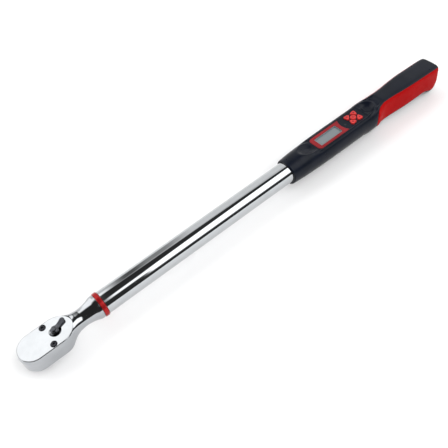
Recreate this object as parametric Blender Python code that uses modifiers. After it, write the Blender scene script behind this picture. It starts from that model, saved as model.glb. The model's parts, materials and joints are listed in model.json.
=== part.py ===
"""Digital torque wrench with a ratcheting half-inch square drive.

Frame: the origin is the middle of the square drive's end face, +X runs along the tube to the
handle and +Z points away from the square drive. Lengths in this file are in millimetres, and the
helpers that make meshes turn them into metres.
"""

import math

import bmesh
import bpy
from mathutils import Matrix, Vector

MM = 0.001
GAP = 0.3                       # clearance kept between pieces that fit together

# Driving dimensions
SQUARE = 12.7                   # half-inch drive
SQUARE_LENGTH = 11.5
AXIS_Z = 26.0                   # height of the tube's axis over the square's end face
TUBE_RADIUS = 14.05
TUBE_WALL = 2.0
TUBE_START = 85.2
TUBE_END = 388.5

# Ratchet head
HEAD_RADIUS = 18.7
HEAD_BOTTOM = AXIS_Z - 13.0
HEAD_TOP = AXIS_Z + 5.2         # face that carries the top plate
COVER_RADIUS = 17.3
COVER_TOP = AXIS_Z + 8.7
COVER_ARCH_X = 26.0             # the top plate's straight sides end here
COVER_ARCH = 21.5               # and its tail reaches this much further
NECK_END = 79.3
BAND_START = 79.9                # red trim band between the neck and the tube
BAND_LENGTH = 5.0
BAND_RADIUS = 15.0
TANG_RADIUS = 11.5
TANG_END = 104.0
BEAM_END = 160.0
SPIGOT_RADIUS = 3.8
SPIGOT_END = 176.0
SCREW_X = 18.4
SCREW_Y = 13.0
SCREW_HEAD_RADIUS = 3.5

# Ratchet works
TEETH = 72
GEAR_RADIUS = 13.6
TOOTH_DEPTH = 0.7
GEAR_FLOOR = 16.0               # floor of the gear pocket
GEAR_TOP = 28.0
JOURNAL_RADIUS = 11.0
BALL_RADIUS = 2.0
BALL_HEIGHT = 5.7
LEVER_X = 27.1
LEVER_ANGLE = math.radians(24)
LEVER_SHAFT = 3.5
LEVER_HUB = 4.6
PAWL_PIN_X = 18.9
PAWL_PIN_RADIUS = 1.5
PAWL_ROCK = math.radians(4)     # tilt of the pawl either side of its middle
PAWL_POCKET = 10.1              # half width of the pawl's pocket
PLUNGER_Z = 22.5

# Console on the casing
DECK_Z = AXIS_Z + 11.7
CASING_WALL = 2.4
SPLIT_Z = AXIS_Z - 5.2          # the casing's shells meet here
DISPLAY_X = 434.8
DISPLAY_LENGTH = 37.0
DISPLAY_WIDTH = 14.5
BEZEL_FRONT = 410.0
BEZEL_WIDTH = 22.4
KEYPAD_X = 480.0
BEZEL_ARC = 21.5                # radius round the keypad's middle that the bezel leaves free
INDICATOR_X = 463.6
INDICATOR_Y = -1.7
INDICATOR_RADIUS = 1.0
KEY_TOP = AXIS_Z + 13.4
KEY_RADIUS = 4.0
PETAL_ANGLE = math.radians(42.3)
BOARD_Z = AXIS_Z + 4.6
BOARD_THICKNESS = 1.6

# Handle
PANEL_THICKNESS = 1.8
PANEL_SEAT = 2.3                # depth of the recess that a grip panel lies in
CELL_RADIUS = 5.25
CELL_LENGTH = 44.5
CELL_FRONT = 557.5
CELL_Y = 5.35
CELL_Z = AXIS_Z - 6.75
COVER_FRONT = 556.3             # battery opening
COVER_REAR = 606.0
OPENING_Y = 10.9

# Casing sections, measured from the tube's axis:
# x, half width, top, bottom, deck height, squareness of the upper half, of the lower half
CASING = (
    (360.0, 17.4, 17.4, 17.4, 28.0, 2.0, 2.0),
    (364.0, 17.8, 17.8, 17.7, 25.0, 2.0, 2.0),
    (370.0, 18.3, 18.3, 18.0, 21.5, 2.0, 2.0),
    (380.0, 18.9, 18.9, 18.6, 18.6, 2.0, 2.0),
    (390.0, 19.3, 19.3, 19.0, 15.9, 2.0, 2.0),
    (400.0, 19.7, 19.7, 19.3, 13.2, 2.0, 2.0),
    (409.0, 20.0, 20.0, 19.7, 11.7, 2.0, 2.0),
    (440.0, 20.2, 20.2, 19.9, 11.7, 2.0, 2.0),
    (478.0, 20.2, 20.2, 20.0, 11.7, 2.0, 2.0),
    (492.0, 20.3, 20.3, 21.2, 11.9, 2.0, 2.0),
    (502.0, 20.6, 20.6, 20.6, 12.8, 2.0, 2.0),
    (510.0, 19.9, 20.0, 20.2, 13.2, 2.1, 2.1),
    (516.0, 17.8, 18.6, 19.0, 13.2, 2.6, 2.4),
    (522.0, 15.4, 17.8, 18.0, 14.8, 4.0, 3.0),
    (530.0, 14.1, 17.8, 17.5, 18.5, 6.0, 4.0),
    (545.0, 14.9, 17.6, 17.6, 20.0, 6.0, 4.0),
    (562.0, 16.0, 17.6, 17.9, 20.0, 6.0, 4.0),
    (578.0, 16.7, 17.6, 18.0, 20.0, 6.0, 4.0),
    (594.0, 16.9, 17.0, 18.0, 20.0, 6.0, 4.0),
    (606.0, 17.0, 16.5, 18.4, 20.0, 6.0, 4.0),
    (613.0, 17.0, 16.2, 20.0, 20.0, 6.0, 4.0),
    (619.0, 16.9, 15.9, 23.6, 20.0, 6.0, 4.0),
    (624.0, 16.7, 15.6, 25.0, 20.0, 6.0, 4.0),
    (628.0, 16.4, 15.3, 22.6, 20.0, 6.0, 4.0),
    (631.0, 16.0, 15.0, 16.0, 20.0, 6.0, 4.0),
    (633.0, 15.0, 14.0, 11.0, 20.0, 6.0, 4.0),
)

# Screws that join the shells: name, x, y
CASING_SCREWS = (
    ("front_left", 398.0, 12.5),
    ("front_right", 398.0, -12.5),
    ("middle_left", 505.0, 11.5),
    ("middle_right", 505.0, -11.5),
    ("heel", 614.0, 0.0),
)

COLOURS = {                     # red, green, blue, roughness, metallic
    "chrome": (0.80, 0.81, 0.82, 0.08, 1.0),
    "gunmetal": (0.06, 0.06, 0.07, 0.35, 1.0),
    "steel": (0.45, 0.45, 0.46, 0.35, 1.0),
    "red_anodised": (0.42, 0.02, 0.02, 0.3, 0.6),
    "casing": (0.035, 0.042, 0.055, 0.55, 0.0),
    "grip_red": (0.42, 0.012, 0.014, 0.5, 0.0),
    "bezel_red": (0.32, 0.02, 0.025, 0.45, 0.0),
    "key_red": (0.68, 0.06, 0.05, 0.45, 0.0),
    "display": (0.20, 0.23, 0.25, 0.15, 0.0),
    "board_green": (0.02, 0.16, 0.07, 0.5, 0.0),
    "black_part": (0.015, 0.015, 0.016, 0.5, 0.0),
    "spring": (0.5, 0.5, 0.5, 0.3, 1.0),
    "cell": (0.05, 0.05, 0.06, 0.35, 0.2),
    "brass": (0.6, 0.45, 0.2, 0.35, 1.0),
}


def clear_scene():
    for obj in list(bpy.data.objects):
        bpy.data.objects.remove(obj, do_unlink=True)


def new_collection(name):
    collection = bpy.data.collections.new(name)
    bpy.context.scene.collection.children.link(collection)
    return collection


def material(name):
    red, green, blue, roughness, metallic = COLOURS[name]
    made = bpy.data.materials.get(name) or bpy.data.materials.new(name)
    made.use_nodes = True
    shader = made.node_tree.nodes["Principled BSDF"]
    shader.inputs["Base Color"].default_value = (red, green, blue, 1.0)
    shader.inputs["Roughness"].default_value = roughness
    shader.inputs["Metallic"].default_value = metallic
    return made


def add(name, data, colour=None):
    """Adds an object: a part where a colour is given, and a hidden cutter where none is."""
    obj = bpy.data.objects.new(name, data)
    if colour is None:
        cutters.objects.link(obj)
        obj.hide_render = True
        obj.display_type = "WIRE"
    else:
        parts.objects.link(obj)
        obj.data.materials.append(material(colour))
    return obj


def smooth(mesh, angle=35):
    mesh.shade_smooth()
    mesh.set_sharp_from_angle(angle=math.radians(angle))


def from_bmesh(name, bm, colour=None):
    bmesh.ops.recalc_face_normals(bm, faces=bm.faces)
    mesh = bpy.data.meshes.new(name)
    bm.to_mesh(mesh)
    bm.free()
    smooth(mesh)
    return add(name, mesh, colour)


def box(name, low, high, colour=None):
    bm = bmesh.new()
    bmesh.ops.create_cube(bm, size=1.0)
    size = [(b - a) * MM for a, b in zip(low, high)]
    middle = [(a + b) / 2 * MM for a, b in zip(low, high)]
    bmesh.ops.scale(bm, vec=size, verts=bm.verts)
    bmesh.ops.translate(bm, vec=middle, verts=bm.verts)
    return from_bmesh(name, bm, colour)


def rod(name, start, end, radius, colour=None, sides=20):
    """Cylinder from start to end."""
    start = Vector(start)
    end = Vector(end)
    bm = bmesh.new()
    bmesh.ops.create_cone(bm, cap_ends=True, segments=sides, radius1=radius * MM,
                          radius2=radius * MM, depth=(end - start).length * MM)
    turn = (end - start).to_track_quat("Z", "Y").to_matrix().to_4x4()
    half_side = Matrix.Rotation(math.pi / sides, 4, "Z")
    place = Matrix.Translation((start + end) / 2 * MM)
    bmesh.ops.transform(bm, matrix=place @ turn @ half_side, verts=bm.verts)
    return from_bmesh(name, bm, colour)


def turned(name, profile, colour=None, steps=32, place=(0, 0, 0), along_x=False):
    """Turns a profile of (radius, height) points, listed from the top down, about its axis."""
    bm = bmesh.new()
    verts = [bm.verts.new((radius * MM, 0, height * MM)) for radius, height in profile]
    closed = min(radius for radius, height in profile) > 0
    ends = verts[1:] + (verts[:1] if closed else [])
    for first, second in zip(verts, ends):
        bm.edges.new((first, second))
    mesh = bpy.data.meshes.new(name)
    bm.to_mesh(mesh)
    bm.free()
    obj = add(name, mesh, colour)
    obj.location = Vector(place) * MM
    if along_x:
        obj.rotation_euler = (0, math.pi / 2, 0)
    screw = obj.modifiers.new("turn", "SCREW")
    screw.steps = steps
    screw.render_steps = steps
    screw.use_merge_vertices = True
    screw.merge_threshold = 0.00001
    return obj


def as_mesh(obj):
    """Replaces a curve object by a closed mesh object of the same name and place."""
    name = obj.name
    place = obj.matrix_world.copy()
    depsgraph = bpy.context.evaluated_depsgraph_get()
    mesh = bpy.data.meshes.new_from_object(obj.evaluated_get(depsgraph))
    owner = obj.users_collection[0]
    bpy.data.objects.remove(obj, do_unlink=True)
    bm = bmesh.new()
    bm.from_mesh(mesh)
    bmesh.ops.remove_doubles(bm, verts=bm.verts, dist=0.000001)
    bmesh.ops.recalc_face_normals(bm, faces=bm.faces)
    bm.to_mesh(mesh)
    bm.free()
    smooth(mesh)
    made = bpy.data.objects.new(name, mesh)
    owner.objects.link(made)
    made.matrix_world = place
    made.hide_render = owner == cutters
    made.display_type = "WIRE" if owner == cutters else "TEXTURED"
    return made


def prism(name, outline, low, high, colour=None, side_view=False):
    """Flat outline of (x, y) points, extruded from low to high along Z.

    In a side view the outline's points are (x, z), and it is extruded along Y.
    """
    curve = bpy.data.curves.new(name, "CURVE")
    curve.dimensions = "2D"
    curve.fill_mode = "BOTH"
    curve.extrude = (high - low) / 2 * MM
    spline = curve.splines.new("POLY")
    spline.points.add(len(outline) - 1)
    for point, (x, y) in zip(spline.points, outline):
        point.co = (x * MM, y * MM, 0, 1)
    spline.use_cyclic_u = True
    obj = add(name, curve, colour)
    middle = (low + high) / 2 * MM
    if side_view:
        obj.rotation_euler = (math.pi / 2, 0, 0)
        obj.location = (0, middle, 0)
    else:
        obj.location = (0, 0, middle)
    bpy.context.view_layer.update()
    return as_mesh(obj)


def wire(name, points, radius, colour, resolution=1):
    """Round wire or cable along a list of points."""
    curve = bpy.data.curves.new(name, "CURVE")
    curve.dimensions = "3D"
    curve.bevel_depth = radius * MM
    curve.bevel_resolution = resolution
    curve.use_fill_caps = True
    spline = curve.splines.new("POLY")
    spline.points.add(len(points) - 1)
    for point, place in zip(spline.points, points):
        point.co = (*(c * MM for c in place), 1)
    return add(name, curve, colour)


def coil(name, start, end, radius, wire_radius, turns, colour="spring"):
    """Compression spring from start to end."""
    start = Vector(start)
    end = Vector(end)
    turn = (end - start).to_track_quat("Z", "Y")
    per_turn = 7
    steps = per_turn * turns
    points = []
    for step in range(steps + 1):
        angle = 2 * math.pi * step / per_turn
        inset = wire_radius + ((end - start).length - 2 * wire_radius) * step / steps
        points.append(start + turn @ Vector((radius * math.cos(angle), radius * math.sin(angle), inset)))
    return wire(name, points, wire_radius, colour, resolution=0)


def boolean(obj, other, operation):
    modifier = obj.modifiers.new(other.name, "BOOLEAN")
    modifier.operation = operation
    modifier.object = other
    return obj


def cut(obj, *cutting):
    for other in cutting:
        boolean(obj, other, "DIFFERENCE")
    return obj


def join(obj, *joined):
    for other in joined:
        boolean(obj, other, "UNION")
    return obj


def keep_inside(obj, other):
    return boolean(obj, other, "INTERSECT")


def loft(name, rings, colour=None):
    """Closed skin over rings that all have the same number of points."""
    bm = bmesh.new()
    made = [[bm.verts.new(Vector(point) * MM) for point in ring] for ring in rings]
    for first, second in zip(made, made[1:]):
        for i in range(len(first)):
            j = (i + 1) % len(first)
            bm.faces.new((first[i], first[j], second[j], second[i]))
    bm.faces.new(made[0][::-1])
    bm.faces.new(made[-1])
    return from_bmesh(name, bm, colour)


def arc(centre, radius, start, end, steps):
    """Points on an arc, angles in degrees."""
    points = []
    for step in range(steps + 1):
        angle = math.radians(start + (end - start) * step / steps)
        points.append((centre[0] + radius * math.cos(angle), centre[1] + radius * math.sin(angle)))
    return points


def rounded(corners, radii, steps=4):
    """Polygon whose corners are rounded to the given radii."""
    outline = []
    count = len(corners)
    for i, (corner, radius) in enumerate(zip(corners, radii)):
        corner = Vector(corner)
        back = (Vector(corners[i - 1]) - corner).normalized()
        ahead = (Vector(corners[(i + 1) % count]) - corner).normalized()
        half = back.angle(ahead) / 2
        centre = corner + (back + ahead).normalized() * radius / math.sin(half)
        first = corner + back * radius / math.tan(half) - centre
        last = corner + ahead * radius / math.tan(half) - centre
        for step in range(steps + 1):
            spoke = first.slerp(last, step / steps).normalized()
            outline.append(tuple(centre + spoke * radius))
    return outline


def grown(outline, distance):
    """Polygon listed clockwise, with its edges moved outward by a distance."""
    moved = []
    for i, corner in enumerate(outline):
        corner = Vector(corner)
        arriving = (corner - Vector(outline[i - 1])).normalized()
        leaving = (Vector(outline[(i + 1) % len(outline)]) - corner).normalized()
        outward = Vector((-arriving.y - leaving.y, arriving.x + leaving.x)).normalized()
        share = Vector((-leaving.y, leaving.x)).dot(outward)
        moved.append(tuple(corner + outward * distance / share))
    return moved


def turn_about(point, centre, angle):
    """Plan point turned about a plan centre."""
    x = point[0] - centre[0]
    y = point[1] - centre[1]
    return (centre[0] + x * math.cos(angle) - y * math.sin(angle),
            centre[1] + x * math.sin(angle) + y * math.cos(angle))


# Ratchet head ---------------------------------------------------------------------------------

def head_ring(x, half_width, top, bottom, round_top, round_bottom, steps=3):
    """Rounded rectangle across the tube's axis, top and bottom measured from the axis."""
    ring = []
    corners = ((1, 1, 0), (-1, 1, 90), (-1, -1, 180), (1, -1, 270))
    for side, level, start in corners:
        radius = round_top if level > 0 else round_bottom
        height = top if level > 0 else bottom
        y = side * (half_width - radius)
        z = level * (height - radius)
        for py, pz in arc((y, z), radius, start, start + 90, steps):
            ring.append((x, py, AXIS_Z + pz))
    return ring


def head_rings():
    top = HEAD_TOP - AXIS_Z
    bottom = AXIS_Z - HEAD_BOTTOM
    rings = []
    nose_steps = 8
    for step in range(nose_steps):
        angle = math.radians(4 + 86 * step / (nose_steps - 1))
        half_width = HEAD_RADIUS * math.sin(angle)
        soft = min(1.2, half_width * 0.8)
        rings.append(head_ring(-HEAD_RADIUS * math.cos(angle), half_width, top, bottom, soft, soft))
    blend = (                   # x, half width, top, bottom, upper and lower corner radius
        (26.0, 18.7, top, bottom, 1.2, 1.2),
        (30.0, 18.5, top + 0.5, bottom - 0.1, 1.8, 2.5),
        (34.0, 17.8, 7.2, 12.5, 3.0, 4.5),
        (38.0, 16.2, 9.4, 11.8, 5.0, 6.8),
        (42.0, 14.0, 10.4, 11.3, 7.6, 8.6),
        (46.0, 12.4, 10.8, 11.1, 9.6, 9.8),
        (50.6, 11.2, 11.2, 11.2, 11.1, 11.1),
    )
    for station in blend:
        rings.append(head_ring(*station))
    neck = ((54.0, 10.8), (58.0, 10.5), (63.0, 10.9), (67.5, 11.6), (71.0, 12.6), (74.5, 13.9),
            (77.5, 14.4), (NECK_END, 14.4), (NECK_END, TANG_RADIUS), (TANG_END, TANG_RADIUS))
    for x, radius in neck:
        rings.append(head_ring(x, radius, radius, radius, radius * 0.999, radius * 0.999))
    for x in (TANG_END, BEAM_END):
        rings.append(head_ring(x, 4.0, 8.0, 8.0, 1.0, 1.0))
    for x in (BEAM_END, SPIGOT_END):
        rings.append(head_ring(x, SPIGOT_RADIUS, SPIGOT_RADIUS, SPIGOT_RADIUS,
                               SPIGOT_RADIUS * 0.999, SPIGOT_RADIUS * 0.999))
    return rings


def cover_outline(grow=0.0):
    """Teardrop of the top plate in plan."""
    outline = arc((0, 0), COVER_RADIUS + grow, 90, 270, 14)
    steps = 12
    for step in range(steps + 1):
        angle = -math.pi / 2 + math.pi * step / steps
        outline.append((COVER_ARCH_X + (COVER_ARCH + grow) * math.cos(angle),
                        (COVER_RADIUS + grow) * math.sin(angle)))
    return outline


def ratchet_head():
    head = loft("ratchet_head", head_rings(), "chrome")
    pocket = [(8.0, -PAWL_POCKET), (24.3, -PAWL_POCKET), (24.3, PAWL_POCKET), (8.0, PAWL_POCKET)]
    above = COVER_TOP + 10
    cut(head,
        prism("cut_plate_seat", cover_outline(GAP), HEAD_TOP, above),
        rod("cut_gear_pocket", (0, 0, GEAR_FLOOR), (0, 0, above), GEAR_RADIUS + 0.5, sides=36),
        rod("cut_journal_hole", (0, 0, HEAD_BOTTOM - 2), (0, 0, GEAR_FLOOR + 1),
            JOURNAL_RADIUS + GAP, sides=28),
        prism("cut_pawl_pocket", rounded(pocket, (0.5, 2.5, 2.5, 0.5)), GEAR_FLOOR, above),
        rod("cut_lever_bore", (LEVER_X, 0, GEAR_FLOOR), (LEVER_X, 0, above), LEVER_SHAFT + GAP),
        rod("cut_pawl_pin_seat", (PAWL_PIN_X, 0, 14.2), (PAWL_PIN_X, 0, GEAR_FLOOR + 1),
            PAWL_PIN_RADIUS + GAP, sides=16),
        rod("cut_head_pin_hole", (95.0, 0, 0), (95.0, 0, AXIS_Z + 6.5), 2.8, sides=16))
    for side in (1, -1):
        cut(head, rod("cut_screw_hole", (SCREW_X, side * SCREW_Y, 21.5),
                      (SCREW_X, side * SCREW_Y, above), 2.2, sides=16))
    return head


def head_cover():
    low = HEAD_TOP + GAP
    cover = prism("head_cover", cover_outline(), low, COVER_TOP, "chrome")
    bevel = cover.modifiers.new("edge", "BEVEL")
    bevel.width = 0.6 * MM
    bevel.limit_method = "ANGLE"
    bevel.angle_limit = math.radians(60)
    cut(cover,
        rod("cut_lever_hole", (LEVER_X, 0, low - 1), (LEVER_X, 0, COVER_TOP + 1), LEVER_SHAFT + GAP),
        rod("cut_lever_recess", (LEVER_X, 0, COVER_TOP - 0.9), (LEVER_X, 0, COVER_TOP + 1), 6.9,
            sides=32))
    for side in (1, -1):
        place = (SCREW_X, side * SCREW_Y)
        cut(cover,
            rod("cut_screw_way", (*place, low - 1), (*place, COVER_TOP + 1), 2.2, sides=16),
            rod("cut_screw_seat", (*place, COVER_TOP - 2.0), (*place, COVER_TOP + 1),
                SCREW_HEAD_RADIUS + GAP))
    return cover


def cover_screw(name, side):
    head_top = COVER_TOP + 0.3
    seat = COVER_TOP - 1.7
    profile = ((0, head_top), (SCREW_HEAD_RADIUS - 0.5, head_top), (SCREW_HEAD_RADIUS, head_top - 0.5),
               (SCREW_HEAD_RADIUS, seat), (1.9, seat), (1.9, 22.4), (1.4, 21.8), (0, 21.8))
    screw = turned(name, profile, "gunmetal", steps=16, place=(SCREW_X, side * SCREW_Y, 0))
    socket = rod("cut_socket_" + name, (SCREW_X, side * SCREW_Y, head_top - 1.3),
                 (SCREW_X, side * SCREW_Y, head_top + 1), 1.7, sides=6)
    return cut(screw, socket)


def drive_gear():
    outline = []
    for tooth in range(TEETH):
        tip = 2 * math.pi * tooth / TEETH
        root = tip + math.pi / TEETH
        outline.append((GEAR_RADIUS * math.cos(tip), GEAR_RADIUS * math.sin(tip)))
        outline.append(((GEAR_RADIUS - TOOTH_DEPTH) * math.cos(root),
                        (GEAR_RADIUS - TOOTH_DEPTH) * math.sin(root)))
    gear = prism("drive_gear", outline, GEAR_FLOOR + GAP, GEAR_TOP, "chrome")
    half = SQUARE / 2
    corners = ((half, half), (-half, half), (-half, -half), (half, -half))
    square = prism("join_square", rounded(corners, (1.0,) * 4, 2), 0.0, SQUARE_LENGTH + 2)
    bevel = square.modifiers.new("edge", "BEVEL")
    bevel.width = 0.6 * MM
    bevel.limit_method = "ANGLE"
    bevel.angle_limit = math.radians(60)
    join(gear,
         rod("join_journal", (0, 0, SQUARE_LENGTH), (0, 0, GEAR_FLOOR + 2), JOURNAL_RADIUS, sides=28),
         rod("join_hub", (0, 0, GEAR_TOP - 1), (0, 0, HEAD_TOP - 0.1), 9.0),
         square)
    cut(gear, rod("cut_ball_bore", (0, -half - 2, BALL_HEIGHT), (0, 2.2, BALL_HEIGHT),
                  BALL_RADIUS + GAP, sides=12))
    return gear


def drive_ball():
    bm = bmesh.new()
    bmesh.ops.create_uvsphere(bm, u_segments=12, v_segments=8, radius=BALL_RADIUS * MM)
    ball = from_bmesh("drive_ball", bm, "steel")
    ball.location = Vector((0, -(SQUARE / 2 + 0.9 - BALL_RADIUS), BALL_HEIGHT)) * MM
    coil("drive_ball_spring", (0, -2.9, BALL_HEIGHT), (0, 1.9, BALL_HEIGHT), 1.3, 0.3, 4)
    return ball


def pawl_outline():
    """Double-ended pawl in plan, with its end on the -Y side in mesh."""
    pin = (PAWL_PIN_X, 0.0)
    tip = GEAR_RADIUS - TOOTH_DEPTH + 0.35
    valley = GEAR_RADIUS + 0.35
    teeth = []
    for step in range(7):
        angle = -math.radians(20 + 2.5 * step)
        radius = tip if step % 2 else valley
        teeth.append((radius * math.cos(angle), radius * math.sin(angle)))
    teeth = [turn_about(point, pin, PAWL_ROCK) for point in teeth]
    lower = [(14.7, 0.0), (14.6, -2.6)] + teeth
    lower += [(12.7, -8.6), (18.5, -7.6), (22.9, -3.0)]
    back = []
    for step in range(1, 6):
        y = -3.0 + step
        back.append((LEVER_X - math.sqrt(5.05 ** 2 - y ** 2), y))
    upper = [(x, -y) for x, y in lower[:0:-1]]
    outline = lower + back + upper
    return [turn_about(point, pin, -PAWL_ROCK) for point in outline]


def pawl():
    body = prism("pawl", pawl_outline(), GEAR_FLOOR + 0.5, GEAR_TOP - 0.2, "steel")
    cut(body, rod("cut_pawl_hole", (PAWL_PIN_X, 0, 10), (PAWL_PIN_X, 0, 40),
                  PAWL_PIN_RADIUS + GAP, sides=20))
    rod("pawl_pin", (PAWL_PIN_X, 0, 14.5), (PAWL_PIN_X, 0, HEAD_TOP - 0.1), PAWL_PIN_RADIUS, "steel",
        sides=16)
    return body


def lever_outline():
    """Arm of the reversing lever in plan, pointing along +X from its pivot."""
    reach = 13.3
    outline = arc((0, 0), 4.6, 40, 320, 12)
    outline += [(6.0, -2.3), (9.0, -2.2)]
    outline += arc((reach, 0), 3.0, -100, 100, 8)
    outline += [(9.0, 2.2), (6.0, 2.3)]
    pivot = (LEVER_X, 0.0)
    placed = [(LEVER_X + x, y) for x, y in outline]
    return [turn_about(point, pivot, LEVER_ANGLE) for point in placed]


def reversing_lever():
    lever = rod("reversing_lever", (LEVER_X, 0, GEAR_FLOOR + 1), (LEVER_X, 0, COVER_TOP + 1),
                LEVER_SHAFT, "gunmetal")
    arm = prism("join_lever_arm", lever_outline(), COVER_TOP + GAP, COVER_TOP + 3.6)
    bevel = arm.modifiers.new("edge", "BEVEL")
    bevel.width = 0.7 * MM
    bevel.limit_method = "ANGLE"
    bevel.angle_limit = math.radians(60)
    join(lever,
         rod("join_lever_hub", (LEVER_X, 0, COVER_TOP - 0.6), (LEVER_X, 0, COVER_TOP + 0.9), LEVER_HUB,
             sides=32),
         arm)
    outward = Vector((-math.cos(LEVER_ANGLE), -math.sin(LEVER_ANGLE), 0))
    pivot = Vector((LEVER_X, 0, PLUNGER_Z))
    cut(lever, rod("cut_plunger_bore", pivot - outward * 1.2, pivot + outward * 6, 1.5, sides=16))
    rod("pawl_plunger", pivot + outward * 2.2, pivot + outward * 4.6, 1.2, "steel", sides=14)
    coil("pawl_spring", pivot - outward * 0.9, pivot + outward * 1.9, 0.85, 0.22, 4)
    return lever


def trim_band():
    inner = TANG_RADIUS + GAP
    profile = ((inner, BAND_LENGTH), (BAND_RADIUS, BAND_LENGTH), (BAND_RADIUS, 0.0), (inner, 0.0))
    return turned("trim_band", profile, "red_anodised", steps=32, place=(BAND_START, 0, AXIS_Z),
                  along_x=True)


# Tube and measuring beam ----------------------------------------------------------------------

def tube():
    inner = TUBE_RADIUS - TUBE_WALL
    profile = ((inner, TUBE_END), (TUBE_RADIUS, TUBE_END), (TUBE_RADIUS, TUBE_START),
               (inner, TUBE_START))
    body = turned("tube", profile, "chrome", steps=36, place=(0, 0, AXIS_Z), along_x=True)
    for name, x, radius in (("head_pin", 95.0, 2.8), ("block_pin", 168.0, 1.8), ("bar_pin", 370.0, 2.3)):
        cut(body, rod("cut_tube_" + name, (x, 0, AXIS_Z - 20), (x, 0, AXIS_Z - 5), radius, sides=16))
    return body


def pins():
    under = AXIS_Z - TUBE_RADIUS + 0.1
    rod("head_pin", (95.0, 0, under), (95.0, 0, AXIS_Z + 6), 2.5, "steel", sides=16)
    rod("beam_ring_pin", (168.0, 0, under), (168.0, 0, AXIS_Z - 5.0), 1.5, "steel", sides=16)
    rod("handle_bar_pin", (370.0, 0, under), (370.0, 0, AXIS_Z + 5), 2.0, "steel", sides=16)


def beam_ring():
    """Ring in the tube that guides the measuring beam's rear end."""
    profile = ((SPIGOT_RADIUS + GAP, 174.0), (11.75, 174.0), (11.75, 162.0), (SPIGOT_RADIUS + GAP, 162.0))
    ring = turned("beam_ring", profile, "steel", steps=24, place=(0, 0, AXIS_Z), along_x=True)
    cut(ring,
        rod("cut_ring_cable", (155, -8, AXIS_Z), (180, -8, AXIS_Z), 1.4, sides=12),
        rod("cut_ring_pin", (168.0, 0, AXIS_Z - 20), (168.0, 0, AXIS_Z - 4.7), 1.8, sides=16))
    return ring


def strain_gauges():
    for name, side in (("left", 1), ("right", -1)):
        near, far = sorted((side * 4.3, side * 4.8))
        box("strain_gauge_" + name, (122, near, AXIS_Z - 4), (134, far, AXIS_Z + 4), "brass")


def gauge_cable():
    route = [(134.3, -5.3, 0), (138, -5.8, 0), (144, -7, 0), (152, -8, 0), (168, -8, 0), (200, -8, 0),
             (260, -8, 0), (320, -8, 0), (350, -8, 0), (388, -8, 0), (393, -7.8, 0.6), (397, -7.2, 2.4),
             (400.5, -6.6, 4.3), (403.6, -6.4, 5.2)]
    points = [(x, y, AXIS_Z + z) for x, y, z in route]
    return wire("gauge_cable", points, 0.9, "black_part")


def handle_bar():
    bar = rod("handle_bar", (352, 0, AXIS_Z), (386, 0, AXIS_Z), 11.7, "steel", sides=24)
    join(bar, box("join_bar", (380, -5.5, AXIS_Z - 10.2), (545, 5.5, AXIS_Z - 4.5)))
    cut(bar,
        rod("cut_bar_cable", (345, -8, AXIS_Z), (392, -8, AXIS_Z), 1.4, sides=12),
        rod("cut_bar_pin", (370.0, 0, AXIS_Z - 20), (370.0, 0, AXIS_Z + 5.5), 2.3, sides=16))
    return bar


# Casing ---------------------------------------------------------------------------------------

def casing_at(x):
    """Section values at x, by smooth interpolation that doesn't overshoot the stations."""
    last = len(CASING) - 2
    i = min(max(sum(1 for station in CASING if station[0] <= x) - 1, 0), last)
    low = CASING[i]
    high = CASING[i + 1]
    width = high[0] - low[0]
    t = (x - low[0]) / width
    values = []
    for column in range(1, len(low)):
        slopes = []
        for k in (i, i + 1):
            if k == 0 or k == len(CASING) - 1:
                slopes.append((high[column] - low[column]) / width)
                continue
            before = (CASING[k][column] - CASING[k - 1][column]) / (CASING[k][0] - CASING[k - 1][0])
            after = (CASING[k + 1][column] - CASING[k][column]) / (CASING[k + 1][0] - CASING[k][0])
            slopes.append(2 * before * after / (before + after) if before * after > 0 else 0.0)
        rise = (2 * t ** 3 - 3 * t ** 2 + 1) * low[column] + (3 * t ** 2 - 2 * t ** 3) * high[column]
        lean = (t ** 3 - 2 * t ** 2 + t) * slopes[0] + (t ** 3 - t ** 2) * slopes[1]
        values.append(rise + lean * width)
    return values


def casing_ring(x, inset, side_steps, bottom_steps):
    """Section of the casing at x, drawn in by inset."""
    half, top, bottom, deck, upper, lower = casing_at(x)
    half -= inset
    top -= inset
    bottom -= inset
    deck = min(deck - inset, top)
    deck_half = half * max(1 - (deck / top) ** upper, 0.0) ** (1 / upper)
    edge = max(deck_half, 0.45 * half)
    right = []
    for y in (0.0, edge / 2, edge):
        skin = top * (1 - (y / half) ** upper) ** (1 / upper)
        right.append((y, min(skin, deck)))
    start = math.asin(min((edge / half) ** (upper / 2), 1.0))
    for step in range(1, side_steps + 1):
        angle = start + (math.pi / 2 - start) * step / side_steps
        right.append((half * math.sin(angle) ** (2 / upper),
                      top * max(math.cos(angle), 0.0) ** (2 / upper)))
    for step in range(1, bottom_steps + 1):
        angle = math.pi / 2 * step / bottom_steps
        right.append((half * max(math.cos(angle), 0.0) ** (2 / lower),
                      -bottom * math.sin(angle) ** (2 / lower)))
    left = [(-y, z) for y, z in right[-2:0:-1]]
    return [(x, y, AXIS_Z + z) for y, z in right + left]


def spread(start, end, step):
    count = max(1, round((end - start) / step))
    return [start + (end - start) * i / count for i in range(count + 1)]


def casing_loft(name, stations, inset, colour=None):
    """Loft of casing sections. The inset is a number, or for the cavity a function of x."""
    rings = []
    steps = (2, 3) if callable(inset) else (3, 4)
    for x in stations:
        rings.append(casing_ring(x, inset(x) if callable(inset) else inset, *steps))
    return loft(name, rings, colour)


OUTER_STATIONS = [360, 364, 370, 380, 390, 400, 409, 440, 478, 492, 497, 502, 507, 511, 515, 519,
                  523, 527, 532, 546, 562, 578, 594, 606, 611, 615, 619, 622, 625, 628, 630, 631.8,
                  633]


CORE_STATIONS = [500, 507, 511, 515, 519, 523, 527, 532, 546, 562, 578, 594, 606, 613, 619, 624, 628]


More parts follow.
